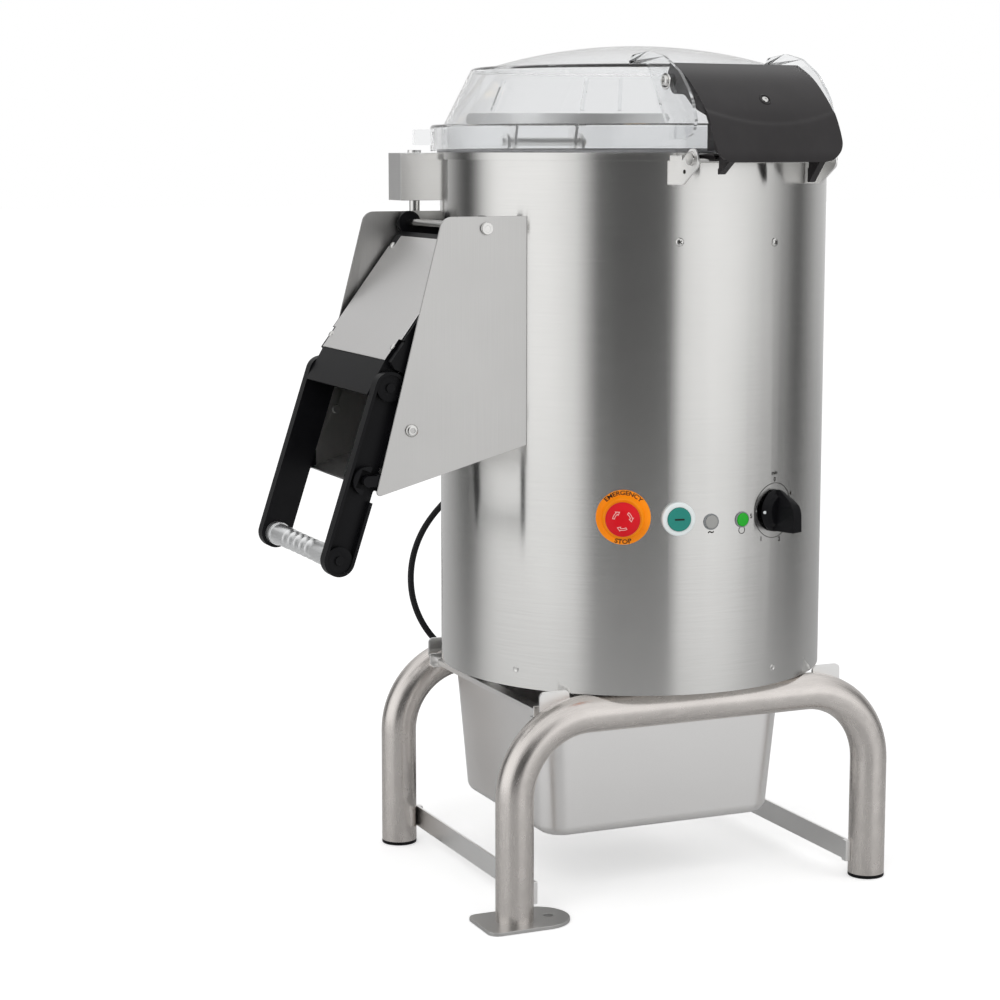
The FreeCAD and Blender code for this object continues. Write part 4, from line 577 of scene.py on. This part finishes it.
solid_finish = [
    (drum_steel, "drum_shell"),
    (tube_steel, "front_leg_frame rear_leg_frame"),
    (satin_steel, "drum_base_plate motor_shelf chamber_floor waste_spout disc_pulley"),
    (satin_steel, "motor_pulley control_box"),
    (bright_steel, "disc_shaft interlock_rod keeper_rod"),
    (abrasive_grit, "chamber_liner peeling_disc"),
    (motor_grey, "motor bearing_housing"),
    (seal_rubber, "rim_seal"), (belt_rubber, "drive_belt"),
    (black_plastic, "timer_body"), (inlet_brass, "water_inlet"),
]
edged_finish = [
    (flat_steel, "left_stretcher_bar right_stretcher_bar"),
    (sheet_steel_painted_shade, "front_anchor_plate rear_anchor_plate"),
    (black_plastic, "front_foot_cap rear_foot_cap"),
    (flat_steel, "front_drum_clips rear_drum_clips front_pan_rail rear_pan_rail"),
    # The cheeks take the sheet steel whose dark tint is painted shade from the parts beside them.
    (sheet_steel_painted_shade, "chute_front_cheek chute_rear_cheek"), (flat_steel, "chute_floor"),
    (black_plastic, "catch_blocks"),
    (flat_steel, "interlock_box left_keeper_bracket right_keeper_bracket"),
    (flat_steel, "lid_hinge_arms lid_hinge_bracket"),
    (black_plastic, "door_frame"), (pan_steel, "door_cover_plate"),
    (bright_steel, "door_hinge_rod"), (black_plastic, "front_handle_arm rear_handle_arm"),
    (pan_steel, "peelings_pan"), (aluminium, "handle_grip"),
    (black_plastic, "timer_knob cable_gland"),
    (legend_yellow, "stop_collar"), (stop_red, "stop_button"),
    (bezel_white, "start_bezel"), (start_green, "start_button"),
    (lens_grey, "supply_lamp"), (lens_green, "running_lamp"), (black_plastic, "mains_plug"),
]
for treat, finishes in ((painted, solid_finish), (dressed, edged_finish)):
    for material, names in finishes:
        for name in names.split():
            treat(name, material)
print("dressed copies:", sum(len(names.split()) for material, names in edged_finish))

# %% [markdown]
# The dome is one profile spun round: a short skirt over the drum's rim, a flat brim, a leaning
# wall, a narrow shelf and a shallow crown. The wall has four millimetres of thickness, so the
# profile goes up the outside and comes back down the inside.

# %% Lid dome
mm = 0.001
lid_wall = 4 * mm
skirt_low, brim_z, brim_r = 843 * mm, 873 * mm, 234 * mm
wall_low_r, wall_high_r, shelf_z = 218 * mm, 186 * mm, 937 * mm
crown_r, crown_z = 168 * mm, 962 * mm
lip_r, lip_low = 221 * mm, 846 * mm


def crown_line(radius, rise_z, steps=24):
    """The crown's section from its rim to the axis, an arc: z = top - R + sqrt(R^2 - r^2)."""
    rise = rise_z - shelf_z
    ball = (radius ** 2 + rise ** 2) / (2 * rise)
    r = np.linspace(radius, 0, steps)
    return np.stack([r, rise_z - ball + np.sqrt(ball ** 2 - r ** 2)], -1)


def inward(line, distance):
    """Move each point of a line along its own normal, to the left of the way it runs."""
    way = np.gradient(line, axis=0)
    way /= np.linalg.norm(way, axis=1)[:, None]
    return line + distance * np.stack([-way[:, 1], way[:, 0]], -1)


crown = crown_line(crown_r, crown_z)[2:]
wall_line = rounded([(wall_low_r, brim_z + 1 * mm), (wall_high_r, shelf_z, 7 * mm),
                     (crown_r, shelf_z, 4 * mm), tuple(crown[0])], 8)
wall_line = np.concatenate([wall_line[:-1], crown])
rim_line = rounded([(brim_r - lid_wall, skirt_low), (brim_r, skirt_low), (brim_r, brim_z, 4 * mm),
                    (wall_low_r + 0.5 * mm, brim_z)], 6)
under_wall = inward(wall_line, lid_wall)
under_wall[-1] = (0, crown_z - lid_wall)
under_rim = [(wall_low_r - lid_wall, lip_low), (lip_r, lip_low), (lip_r, brim_z - lid_wall),
             (brim_r - lid_wall, brim_z - lid_wall)]
section = np.concatenate([rim_line, wall_line, under_wall[::-1], under_rim, rim_line[:1]])
lid_dome = spun("lid_dome_piece", section, 256, smooth_deg=20)
finished(lid_dome, lid_clear, "lid", "lid_dome")
print("lid section:", len(section), "points")

# %% [markdown]
# Beside the handle two clear cheeks stand on the lid. Each is one flat plate, so an outline with
# rounded corners and a thickness is enough. Their thick edges bend the light, and that is what
# draws them. A small tab at the left lifts the lid, and short ribs stiffen its leaning wall.

# %% Clear cheeks, tab and ribs
drum_r, drum_top = 223 * mm, 842 * mm
moulded_edge = 0.7 * mm
handle_azimuth_deg = 7.5
cheek_across, cheek_half_t = 92 * mm, 2 * mm
tab_azimuth_deg, tab_half_w = -120.6, 10 * mm
rib_azimuths_deg, rib_half_t = [-72.9, -41.5, -30.6, 45.6, 56.5, 87.9], 2 * mm


def stood_up(made, azimuth_deg=handle_azimuth_deg):
    """Carry a slab drawn as (distance out, height, across) to its azimuth on the drum."""
    out = out_from_drum(azimuth_deg)
    upright = Vector((0, 0, 1))
    made.data.transform(Matrix((out, upright, out.cross(upright))).transposed().to_4x4())
    return made


def in_mm(corners):
    """Rows of millimetres as rows of metres."""
    return [tuple(value * mm for value in corner) for corner in corners]


cheek_outline = rounded(in_mm([
    (130, 946, 10), (166, 950, 20), (194, 944, 30), (224, 926, 40), (245, 900, 40), (253, 876, 10),
    (249, 862, 8), (232, 856, 8), (215.8, 856), (215.8, 873.3), (198.6, 873.3), (162.4, 937.4),
    (140.6, 937.4), (130, 940.4)]), 8)
lid_pieces = []
for side in (-1, 1):
    middle = side * cheek_across
    cheek = slab("lid_cheek", cheek_outline, middle - cheek_half_t, middle + cheek_half_t)
    lid_pieces.append(stood_up(cheek))
tab_outline = rounded(in_mm([(234.3, 850), (256, 850, 2), (256, 868, 2), (234.3, 868)]), 4)
lid_pieces.append(stood_up(slab("lid_tab", tab_outline, -tab_half_w, tab_half_w), tab_azimuth_deg))
rib_outline = rounded(in_mm([(212.2, 886), (215.2, 887, 1), (198.5, 921, 1), (194.6, 921)]), 3)
for azimuth in rib_azimuths_deg:
    lid_pieces.append(stood_up(slab("lid_rib", rib_outline, -rib_half_t, rib_half_t), azimuth))
print("lid fittings:", len(lid_pieces))
joined(lid_pieces, "lid_cheeks_piece", lid_clear, "lid", edge=moulded_edge)

# %% [markdown]
# A strip of brushed sheet runs round the back of the lid and spreads the hinge's load. It is seen
# through the clear wall. A strip that follows the drum is a flat outline rolled round it: the
# distance across becomes an angle.

# %% Hinge strip
strip_r, strip_half_deg = 221.5 * mm, 39.0
strip_z, strip_half_high, strip_t, end_round = 883 * mm, 6.4 * mm, 1.2 * mm, 6 * mm


def rolled(points, azimuth_deg, radius):
    """Roll (across, height, off) points round the drum: angle = azimuth + across / radius,
    distance from the axis = radius + off."""
    points = np.asarray(points, float)
    angle = math.radians(azimuth_deg) + points[..., 0] / radius
    out = radius + points[..., 2]
    return np.stack([out * np.sin(angle), -out * np.cos(angle), points[..., 1]], -1)


strip_half = strip_r * math.radians(strip_half_deg)
reach = np.linspace(-strip_half, strip_half, 90)
from_end = np.clip(strip_half - np.abs(reach), 0, end_round)
half_high = strip_half_high - end_round + np.sqrt(end_round ** 2 - (end_round - from_end) ** 2)
loop = [(-1, 0.0), (1, 0.0), (1, strip_t), (-1, strip_t)]
strip_points = np.stack([np.stack([reach, strip_z + sign * half_high, off + 0 * reach], -1)
                         for sign, off in loop], 1)
last = 4 * (len(reach) - 1)
strip_faces = grid_faces(len(reach), len(loop))
strip_faces += [[0, 1, 2, 3], [last, last + 1, last + 2, last + 3]]
strip = finish_mesh("hinge_strip_piece", rolled(strip_points, 180.0, strip_r), strip_faces)
finished(strip, flat_steel, "lid")
print("hinge strip:", round(2 * strip_half / mm), "mm long")

# %% [markdown]
# The handle is one black moulding: a curved visor, a web at each end, and two hooks that reach
# down beside the polished bar. The visor is a profile carried across, so it is a grid. A low step
# runs across it in a shallow bow, and below the step it stands a little prouder.

# %% Handle visor
visor_half_w, visor_t, visor_corner = 85 * mm, 4 * mm, 24 * mm
step_from_lip, step_bow, step_blend, step_high, lip_blend = np.array([58, 16, 3.5, 1.3, 12]) * mm
from_rim = np.array([(-27, 96), (-1, 84), (20, 65), (39, 45), (51, 20), (56, 3), (56, -10)]) * mm


def smooth_line(stops, steps=10):
    """A cubic B-spline: each stretch blends four neighbours by (1-t)^3, 3t^3-6t^2+4,
    -3t^3+3t^2+3t+1 and t^3, each over 6. The ends are carried on so that it reaches them."""
    stops = np.concatenate([[2 * stops[0] - stops[1]], stops, [2 * stops[-1] - stops[-2]]])
    t = np.linspace(0, 1, steps, endpoint=False)[:, None]
    blend = np.stack([(1 - t) ** 3, 3 * t ** 3 - 6 * t ** 2 + 4,
                      -3 * t ** 3 + 3 * t ** 2 + 3 * t + 1, t ** 3]) / 6
    stretches = [sum(blend[k] * stops[i + k] for k in range(4)) for i in range(len(stops) - 3)]
    return np.concatenate(stretches + [stops[-2][None]])


visor_line = smooth_line(from_rim + [drum_r, drum_top])
visor_inner = inward(visor_line, -visor_t)
along_visor = np.concatenate([[0], np.cumsum(np.linalg.norm(np.diff(visor_line, axis=0), axis=1))])
to_lip = along_visor[-1] - along_visor
corner_in = np.clip(visor_corner - to_lip, 0, visor_corner)
half_wide = visor_half_w - visor_corner + np.sqrt(visor_corner ** 2 - corner_in ** 2)
across = half_wide[:, None] * np.linspace(-1, 1, 61)
step_at = step_from_lip - step_bow * (1 - (across / visor_half_w) ** 2)
rise = np.clip((step_at - to_lip[:, None]) / step_blend + 0.5, 0, 1)
prouder = step_high * rise * rise * (3 - 2 * rise) * np.clip(to_lip[:, None] / lip_blend, 0, 1)
way_out = (visor_line - visor_inner) / visor_t
front = visor_line[:, None] + (prouder[..., None] - step_high) * way_out[:, None]
back = np.broadcast_to(visor_inner[:, None], front.shape)
front, back = [np.concatenate([face, across[..., None]], -1) for face in (front, back)]
visor_points = np.concatenate([front, back[:, ::-1]], 1)
rows, row = visor_points.shape[:2]
visor_faces = grid_faces(rows, row) + [list(range(row)), list(range((rows - 1) * row, rows * row))]
visor = finish_mesh("visor", visor_points, visor_faces)
handle_parts = [stood_up(visor)]
print("visor:", len(visor_line), "rows across", round(along_visor[-1] / mm), "mm of curve")

# %% [markdown]
# The webs are flat plates under the visor, cut along its own curve. Of the two hooks, the right
# one reaches a little lower.

# %% Handle webs and hooks
web_faces, hook_across, hook_half_t = (80 * mm, 85 * mm), 60 * mm, 4 * mm
web_rows = slice(4, 38)
web_under = rounded(in_mm([(261.5, 880), (240, 888, 20), (222, 903, 12), (198, 904, 10),
                           (191, 926, 6), (197, 936)]), 5)
web_outline = np.concatenate([inward(visor_line, -2.6 * mm)[web_rows], web_under])
hook_outline = in_mm([(234, 872), (234, 844), (255, 844, 1), (255, 826, 0.6), (253.3, 825)])
hook_rest = in_mm([(275.4, 834), (275.4, 846), (270.5, 862), (260.5, 882)])
for side in (-1, 1):
    web = slab("web", web_outline, *sorted(side * face for face in web_faces))
    handle_parts.append(stood_up(web))
for side, tip_z in ((1, 818.8), (-1, 809.8)):
    tip = in_mm([(253.3, tip_z, 1.2), (256.5, tip_z + 0.8, 2)])
    middle = side * hook_across
    outline = rounded(hook_outline + tip + hook_rest, 4)
    hook = slab("hook", outline, middle - hook_half_t, middle + hook_half_t)
    handle_parts.append(stood_up(hook))
joined(handle_parts, "lid_handle_piece", gloss_black, "lid_latch", "lid_handle", edge=moulded_edge)

# %% [markdown]
# Two bright screws carry the handle, each with a washer outside its clear cheek, and a third one
# sits in a round recess in the visor.

# %% Handle screws


def socket_screw(name, radius, high, foot=0.0, washer=0.0):
    """A button head with its socket, perhaps over a washer. The profile's rows are (share of
    the radius, height), and the head's heights are shares of its own."""
    stem = [(0, foot), (0.6, foot), (0.6, 0), (1.35 if washer else 1, 0)]
    rim = [(1.35, washer * 0.8), (1.28, washer), (1, washer)] if washer else []
    head = [(1, 0.3), (0.93, 0.66), (0.76, 0.9), (0.5, 1), (0.42, 0.96), (0.40, 0.45), (0, 0.40)]
    head = [(share, washer + high * height) for share, height in head]
    return spun(name, np.array(stem + rim + head) * [radius, 1], 48, 40)


handle_way = out_from_drum(handle_azimuth_deg)
sideways = Vector((0, 0, 1)).cross(handle_way)
pivot_place = point_at(handle_way, 200 * mm, 917 * mm)
screw_face = 94.3 * mm
screw_parts = []
for side in (-1, 1):
    screw = socket_screw("pivot_screw", 6.4 * mm, 3.0 * mm, foot=-10 * mm, washer=0.9 * mm)
    screw_parts.append(put(screw, pivot_place + sideways * side * screw_face, sideways * side))
middle_row = 24
visor_way = point_at(handle_way, *way_out[middle_row])
visor_spot = point_at(handle_way, *visor_line[middle_row])
visor_screw = socket_screw("visor_screw", 4.0 * mm, 1.4 * mm)
screw_parts.append(put(visor_screw, visor_spot - visor_way * 1.5 * mm, visor_way))
joined(screw_parts, "handle_screws_piece", bright_steel, "lid_latch")
ring_profile = in_mm([(5.2, -1.5), (7.4, -1.5), (7.0, -0.6), (6.2, -0.2), (5.4, -0.6), (5.2, -1.5)])
visor_ring = put(spun("visor_screw_recess_piece", ring_profile, 48), visor_spot, visor_way)
finished(visor_ring, gloss_black, "lid_latch")

# %% [markdown]
# The controls carry print, and print is only a very thin layer of shapes. Letters come from text
# turned into a mesh. Their flat places are then bent twice: round the ring that they follow, and
# round the drum where they lie on its wall.

# %% Printed marks
print_lift = 0.12 * mm
stop_azimuth_deg, stop_z = -28.6, 449 * mm
timer_azimuth_deg, timer_z = 19.1, 448 * mm
supply_azimuth_deg, running_azimuth_deg, lamp_z_mm = -3.3, 6.8, 442
legend_r, legend_size, legend_face = 26.9 * mm, 6.6 * mm, 2.16 * mm


def written(words, size):
    """The words as a thin mesh about their middle, lying in the XY plane."""
    text = bpy.data.curves.new("words", "FONT")
    text.body = words
    text.size = size
    text.extrude = 0.04 * mm
    text.offset = size * 0.022
    text.align_x = text.align_y = "CENTER"
    holder = placed("words", text)
    bpy.context.view_layer.update()
    graph = bpy.context.evaluated_depsgraph_get()
    mesh = bpy.data.meshes.new_from_object(holder.evaluated_get(graph))
    bpy.data.objects.remove(holder)
    mesh.materials.clear()
    return placed("words", mesh)


def moved(made, rule):
    """Send every point of a mesh through a rule for whole arrays."""
    points = made.data.vertices
    flat = np.empty(len(points) * 3)
    points.foreach_get("co", flat)
    points.foreach_set("co", rule(flat.reshape(-1, 3)).ravel())
    made.data.update()
    return made


def round_a_ring(points, radius, middle_deg, reading_out):
    """Bend words along a circle: angle = middle - x / r clockwise, distance = r + y.
    Along the bottom they run the other way, with their feet outwards."""
    turn_way = 1 if reading_out else -1
    angle = math.radians(middle_deg) - turn_way * points[:, 0] / radius
    distance = radius + turn_way * points[:, 1]
    return np.stack([distance * np.cos(angle), distance * np.sin(angle), points[:, 2]], -1)


def printed(made, azimuth_deg, height):
    """Bend a flat print round the drum, just off its wall."""
    return moved(made, lambda points: rolled(points + [0, height, print_lift], azimuth_deg, drum_r))


def on_face(made, azimuth_deg, height, off):
    """Carry a flat print to a face that stands off the drum."""
    out = out_from_drum(azimuth_deg)
    return put(made, point_at(out, drum_r + off, height), out)


def flat_ring(inner, outer, around=96, thick=0.08 * mm):
    """A flat washer: two circles at two heights, closed to a loop."""
    profile = [(inner, 0), (outer, 0), (outer, thick), (inner, thick), (inner, 0)]
    return spun("ring", profile, around)


ring_words = []
for words, middle_deg, reading_out in (("EMERGENCY", 90, True), ("STOP", -90, False)):
    letters = moved(written(words, legend_size), lambda points: points * [1.18, 1, 1])
    moved(letters, lambda points: round_a_ring(points, legend_r, middle_deg, reading_out))
    ring_words.append(on_face(letters, stop_azimuth_deg, stop_z, legend_face))
joined(ring_words, "stop_legend_piece", print_and_shade_black)

wall_print = []
for words, size, x, y in (("min", 6.5, 0, 42), ("0", 7, 0.5, 34.5), ("1", 7, -20, -30.5),
                          ("2", 7, 10, -33.5), ("3", 7, 31, -14), ("4", 7, 30, 16),
                          ("5", 7, -35, -3.5)):
    letters = moved(written(words, size * mm), lambda points: points + [x * mm, y * mm, 0])
    wall_print.append(printed(letters, timer_azimuth_deg, timer_z))
wall_print.append(printed(flat_ring(30.3 * mm, 30.9 * mm), timer_azimuth_deg, timer_z))
wall_print.append(printed(flat_ring(3.6 * mm, 4.3 * mm, 48), running_azimuth_deg, 430.2 * mm))
wave = moved(written("~", 12 * mm), lambda points: points - points.mean(axis=0))
wall_print.append(printed(wave, supply_azimuth_deg, 430.5 * mm))
joined(wall_print, "wall_print_piece", print_and_shade_black)
print("prints:", len(ring_words), "on the ring and", len(wall_print), "on the wall")

# %% [markdown]
# Three outlined arrows on the stop button show which way it turns to let go. Each is an outline
# in angle and radius round the button's axis, and a strip along it. The cap's crown is an arc,
# so every point is lifted onto it by the same formula.

# %% Arrows, bar, dot and lamp rings
cap_flat_r, cap_round_r, cap_low = 6.93 * mm, 12 * mm, 12.1 * mm
start_azimuth_deg, start_z, start_face = -13.2, 447 * mm, 7.95 * mm
knob_face_r, dot_from_axis = 228.3 * mm, 21 * mm


def on_crown(points):
    """Lift flat points onto the button: height = low + sqrt(R^2 - (r - flat)^2) past its flat."""
    distance = np.hypot(points[:, 0], points[:, 1])
    past = np.clip(distance - cap_flat_r, 0, cap_round_r * 0.9)
    height = cap_low + np.sqrt(cap_round_r ** 2 - past ** 2)
    return np.stack([points[:, 0], points[:, 1], points[:, 2] + height], -1)


def strip_along(outline, width, thick=0.10 * mm):
    """A closed strip inside an outline, each corner moved in along the mean of its two normals."""
    outline = np.asarray(outline, float)
    before = outline - np.roll(outline, 1, 0)
    before /= np.linalg.norm(before, axis=1)[:, None]
    after = np.roll(before, -1, 0)
    inwards = np.stack([-(before + after)[:, 1], (before + after)[:, 0]], -1)
    inwards /= (1 + (before * after).sum(1))[:, None]
    inner = outline + inwards * width
    levels = [(outline, 0), (inner, 0), (inner, thick), (outline, thick)]
    points = np.stack([np.column_stack([line, np.full(len(line), z)]) for line, z in levels])
    return finish_mesh("strip", points, grid_faces(4, len(outline), wrap_rows=True))


def arrow_outline(first_deg):
    """A bent arrow from (degrees, millimetres out) corners, anticlockwise round its outline."""
    tail = np.column_stack([np.linspace(0, 40, 7), np.full(7, 8.4)])
    head = [(40, 6.8), (66, 9.8), (40, 12.8)]
    polar = np.concatenate([tail, head, tail[::-1] + [0, 2.8]])
    angle = np.radians(first_deg - polar[:, 0])
    return np.column_stack([np.cos(angle), np.sin(angle)]) * polar[:, 1:] * mm


arrows = []
for first_deg in (172, 55, -62):
    arrow = moved(strip_along(arrow_outline(first_deg), 0.75 * mm), on_crown)
    arrows.append(on_face(arrow, stop_azimuth_deg, stop_z, print_lift))
joined(arrows, "stop_arrows_piece", arrow_pink, body_of["stop_button"])

bar_outline = rounded(in_mm([(x, y, 0.8) for x, y in
                             ((-5.5, -0.9), (5.5, -0.9), (5.5, 0.9), (-5.5, 0.9))]), 4)
bar = slab("start_bar_piece", bar_outline, 0, 0.3 * mm)
finished(on_face(bar, start_azimuth_deg, start_z, start_face), print_and_shade_black, body_of["start_button"])
dot_profile = in_mm([(0, -1.5), (1.7, -1.5), (1.7, 0.5), (1.2, 0.8), (0, 0.9)])
timer_way = out_from_drum(timer_azimuth_deg)
dot_place = point_at(timer_way, knob_face_r, timer_z)
dot_place += out_from_drum(timer_azimuth_deg - 90) * dot_from_axis
dot = put(spun("knob_dot_piece", dot_profile, 24), dot_place, timer_way)
finished(dot, bezel_white, body_of["timer_knob"])


def heads_on_drum(profile, places, around=40):
    """A small head spun from a profile in millimetres, at each (azimuth, height) of the drum."""
    return [on_face(spun("head", in_mm(profile), around), azimuth, height * mm, 0)
            for azimuth, height in places]


ring_profile = [(7.6, 0.05), (9.0, 0.05), (8.8, 1.4), (8.2, 1.8), (7.6, 1.6), (7.6, 0.05)]
lamps = [(supply_azimuth_deg, lamp_z_mm), (running_azimuth_deg, lamp_z_mm)]
lamp_rings = heads_on_drum(ring_profile, lamps, 64)
joined(lamp_rings, "lamp_rings_piece", motor_grey)

# %% [markdown]
# Small fasteners tell the eye how large a machine is. Two cross-head screws and two pressed marks
# sit in the drum's wall, rivets hold the plate on the door, and button heads hold the chute and
# the polished bar. The crosses in the drum screws and the holes beside the keeper screws are
# painted shade: thin black shapes that stand in for the dark of a recess.

# %% Fasteners
drum_screws = [(-13.5, 747), (17.5, 745)]
drum_marks = [(-61.1, 270), (19.6, 269)]
screw_head = [(0, -0.5), (4.8, -0.5), (4.8, 0.4), (4.2, 1.3), (2.6, 2.0), (0, 2.2)]
pressed_mark = [(0, -0.4), (3.6, -0.4), (3.6, 0.1), (2.9, 0.45), (2.2, 0.1), (0, 0.1)]
wall_parts = heads_on_drum(screw_head, drum_screws) + heads_on_drum(pressed_mark, drum_marks)
joined(wall_parts, "drum_screws_piece", bright_steel)

# The cross in each drum screw is painted shade: two thin black bars stand just proud of the head
# where its recess would be dark.
cross_shade_outline = rounded(in_mm([(-2.6, -0.5), (2.6, -0.5), (2.6, 0.5), (-2.6, 0.5)]))
cross_shade_parts = []
for azimuth, height in drum_screws:
    for turn_deg in (40, 130):
        cross_shade_bar = slab("cross_shade_bar", cross_shade_outline, 0, 1.0 * mm)
        cross_shade_bar.data.transform(Matrix.Rotation(math.radians(turn_deg), 4, "Z"))
        cross_shade_parts.append(on_face(cross_shade_bar, azimuth, height * mm, 1.25 * mm))
joined(cross_shade_parts, "screw_slot_shade_piece", print_and_shade_black)

cheek_face = 120 * mm
head_parts = []
for x, z in ((-236, 761), (-324, 546)):
    for side in (-1, 1):
        base = Vector((x * mm, side * (cheek_face + 0.05 * mm), z * mm))
        head_parts.append(put(socket_screw("head", 7.2 * mm, 3.9 * mm), base, (0, side, 0)))
joined(head_parts, "chute_screws_piece", bright_steel)

bracket_r, bracket_z, bracket_face = 247 * mm, 836 * mm, 93.3 * mm
keeper_screws, keeper_hole_shades = [], []
for side in (-1, 1):
    face = point_at(handle_way, bracket_r, bracket_z) + sideways * side * bracket_face
    screw = socket_screw("head", 5.6 * mm, 2.6 * mm, washer=0.7 * mm)
    keeper_screws.append(put(screw, face, sideways * side))
    # Near each screw a thin black disc is painted shade: it stands in for the dark of a hole in the
    # bracket.
    hole_shade = spun("hole_shade", in_mm([(0, 0), (2.3, 0), (2.3, 0.12), (0, 0.12)]), 32)
    keeper_hole_shades.append(put(hole_shade, face - point_at(handle_way, 13 * mm, 14 * mm), sideways * side))
joined(keeper_screws, "keeper_screws_piece", bright_steel)
joined(keeper_hole_shades, "keeper_hole_shade_piece", print_and_shade_black)

door_top, door_knee = Vector((-252, 0, 747)) * mm, Vector((-348, 0, 620)) * mm
door_way = (door_knee - door_top).normalized()
door_out = Vector((door_way.z, 0, -door_way.x))
rivet_profile = in_mm([(0, -0.5), (4.0, -0.5), (4.0, 0.5), (3.2, 1.5), (1.8, 2.1), (0, 2.3)])
rivets = []
for down, across_door in ((0.09, -97), (0.09, 97), (0.88, -98), (0.88, 98)):
    rivet = spun("rivet", rivet_profile, 32)
    place = door_top + (door_knee - door_top) * down + Vector((0, across_door * mm, 0))
    rivets.append(put(rivet, place, door_out))
joined(rivets, "door_rivets_piece", satin_steel, body_of["door_cover_plate"])
print("heads:", len(drum_screws) + len(head_parts) + len(keeper_screws) + len(rivets))

# %% [markdown]
# The mains lead is one smooth curve through the route that the solid tube follows: out of the
# gland, down in a loose loop beside the drum, along the floor behind the stand, round the coil
# and into the plug.

# %% Mains lead
lead_radius = 4 * mm
gland_way = out_from_drum(-166.0)
gland_tip = point_at(gland_way, 0.248, 0.440)
straight_end = 0.024
hanging_mm = [(-80, 283, 431), (-102, 294, 412), (-129, 293, 389), (-152, 289, 361),
              (-166, 284, 327), (-169, 278, 291), (-161, 271, 258), (-144, 264, 230),
              (-118, 257, 207), (-97, 252, 176), (-86, 248, 138), (-77, 246, 98), (-62, 245, 61),
              (-38, 244, 31), (-9, 243.2, 11), (20, 243.2, 4)]
coil_x, coil_y, coil_radius, coil_pitch, coil_rise = 0.040, 0.296, 0.0528, 0.0088, 0.0086
coil_half_turns = 4
plug_height = 0.0185


def coil_points(steps=9):
    """Half turns that step in by half a pitch each, climb a layer, and step out again:
    on each, x = cx + s r sin t and y = c - s r cos t, with t from 0 to pi."""
    radii = [coil_radius - coil_pitch / 2 * k for k in range(coil_half_turns + 1)]
    radii += [radii[-1] + coil_pitch / 2 * (k + 1) for k in range(coil_half_turns + 1)]
    y, z, side = coil_y - coil_radius, lead_radius, 1
    rows = []
    for index, radius in enumerate(radii):
        next_z = z
        if index == coil_half_turns:
            next_z = lead_radius + coil_rise
        if index == len(radii) - 1:
            next_z = plug_height
        t = np.linspace(0, np.pi, steps)[:-1]
        centre = y + side * radius
        blend = (1 - np.cos(t)) / 2
        bulge = 1 + 0.018 * np.sin(t) ** 2
        rows.append(np.stack([coil_x + side * radius * bulge * np.sin(t),
                              centre - side * radius * np.cos(t), z + (next_z - z) * blend], -1))
        y, z, side = y + side * 2 * radius, next_z, -side
    return np.concatenate(rows + [[[coil_x, y, z], [coil_x + 0.010, y, z]]])


lead_line = np.concatenate([[gland_tip, gland_tip + gland_way * straight_end],
                            np.array(hanging_mm) * mm, coil_points()])
lead_curve = bpy.data.curves.new("mains_lead_piece", "CURVE")
lead_curve.dimensions = "3D"
spline = lead_curve.splines.new("NURBS")
spline.points.add(len(lead_line) - 1)
spline.points.foreach_set("co", np.column_stack([lead_line, np.ones(len(lead_line))]).ravel())
spline.order_u = 3
spline.use_endpoint_u = True
spline.resolution_u = 8
lead_curve.bevel_depth = lead_radius
lead_curve.bevel_resolution = 6
lead = placed("mains_lead_piece", lead_curve)
lead_curve.materials.append(lead_rubber)
print("lead's corner points:", len(lead_line))
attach(lead, "stand_and_drum")
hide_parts("mains_lead", "lead_coil")
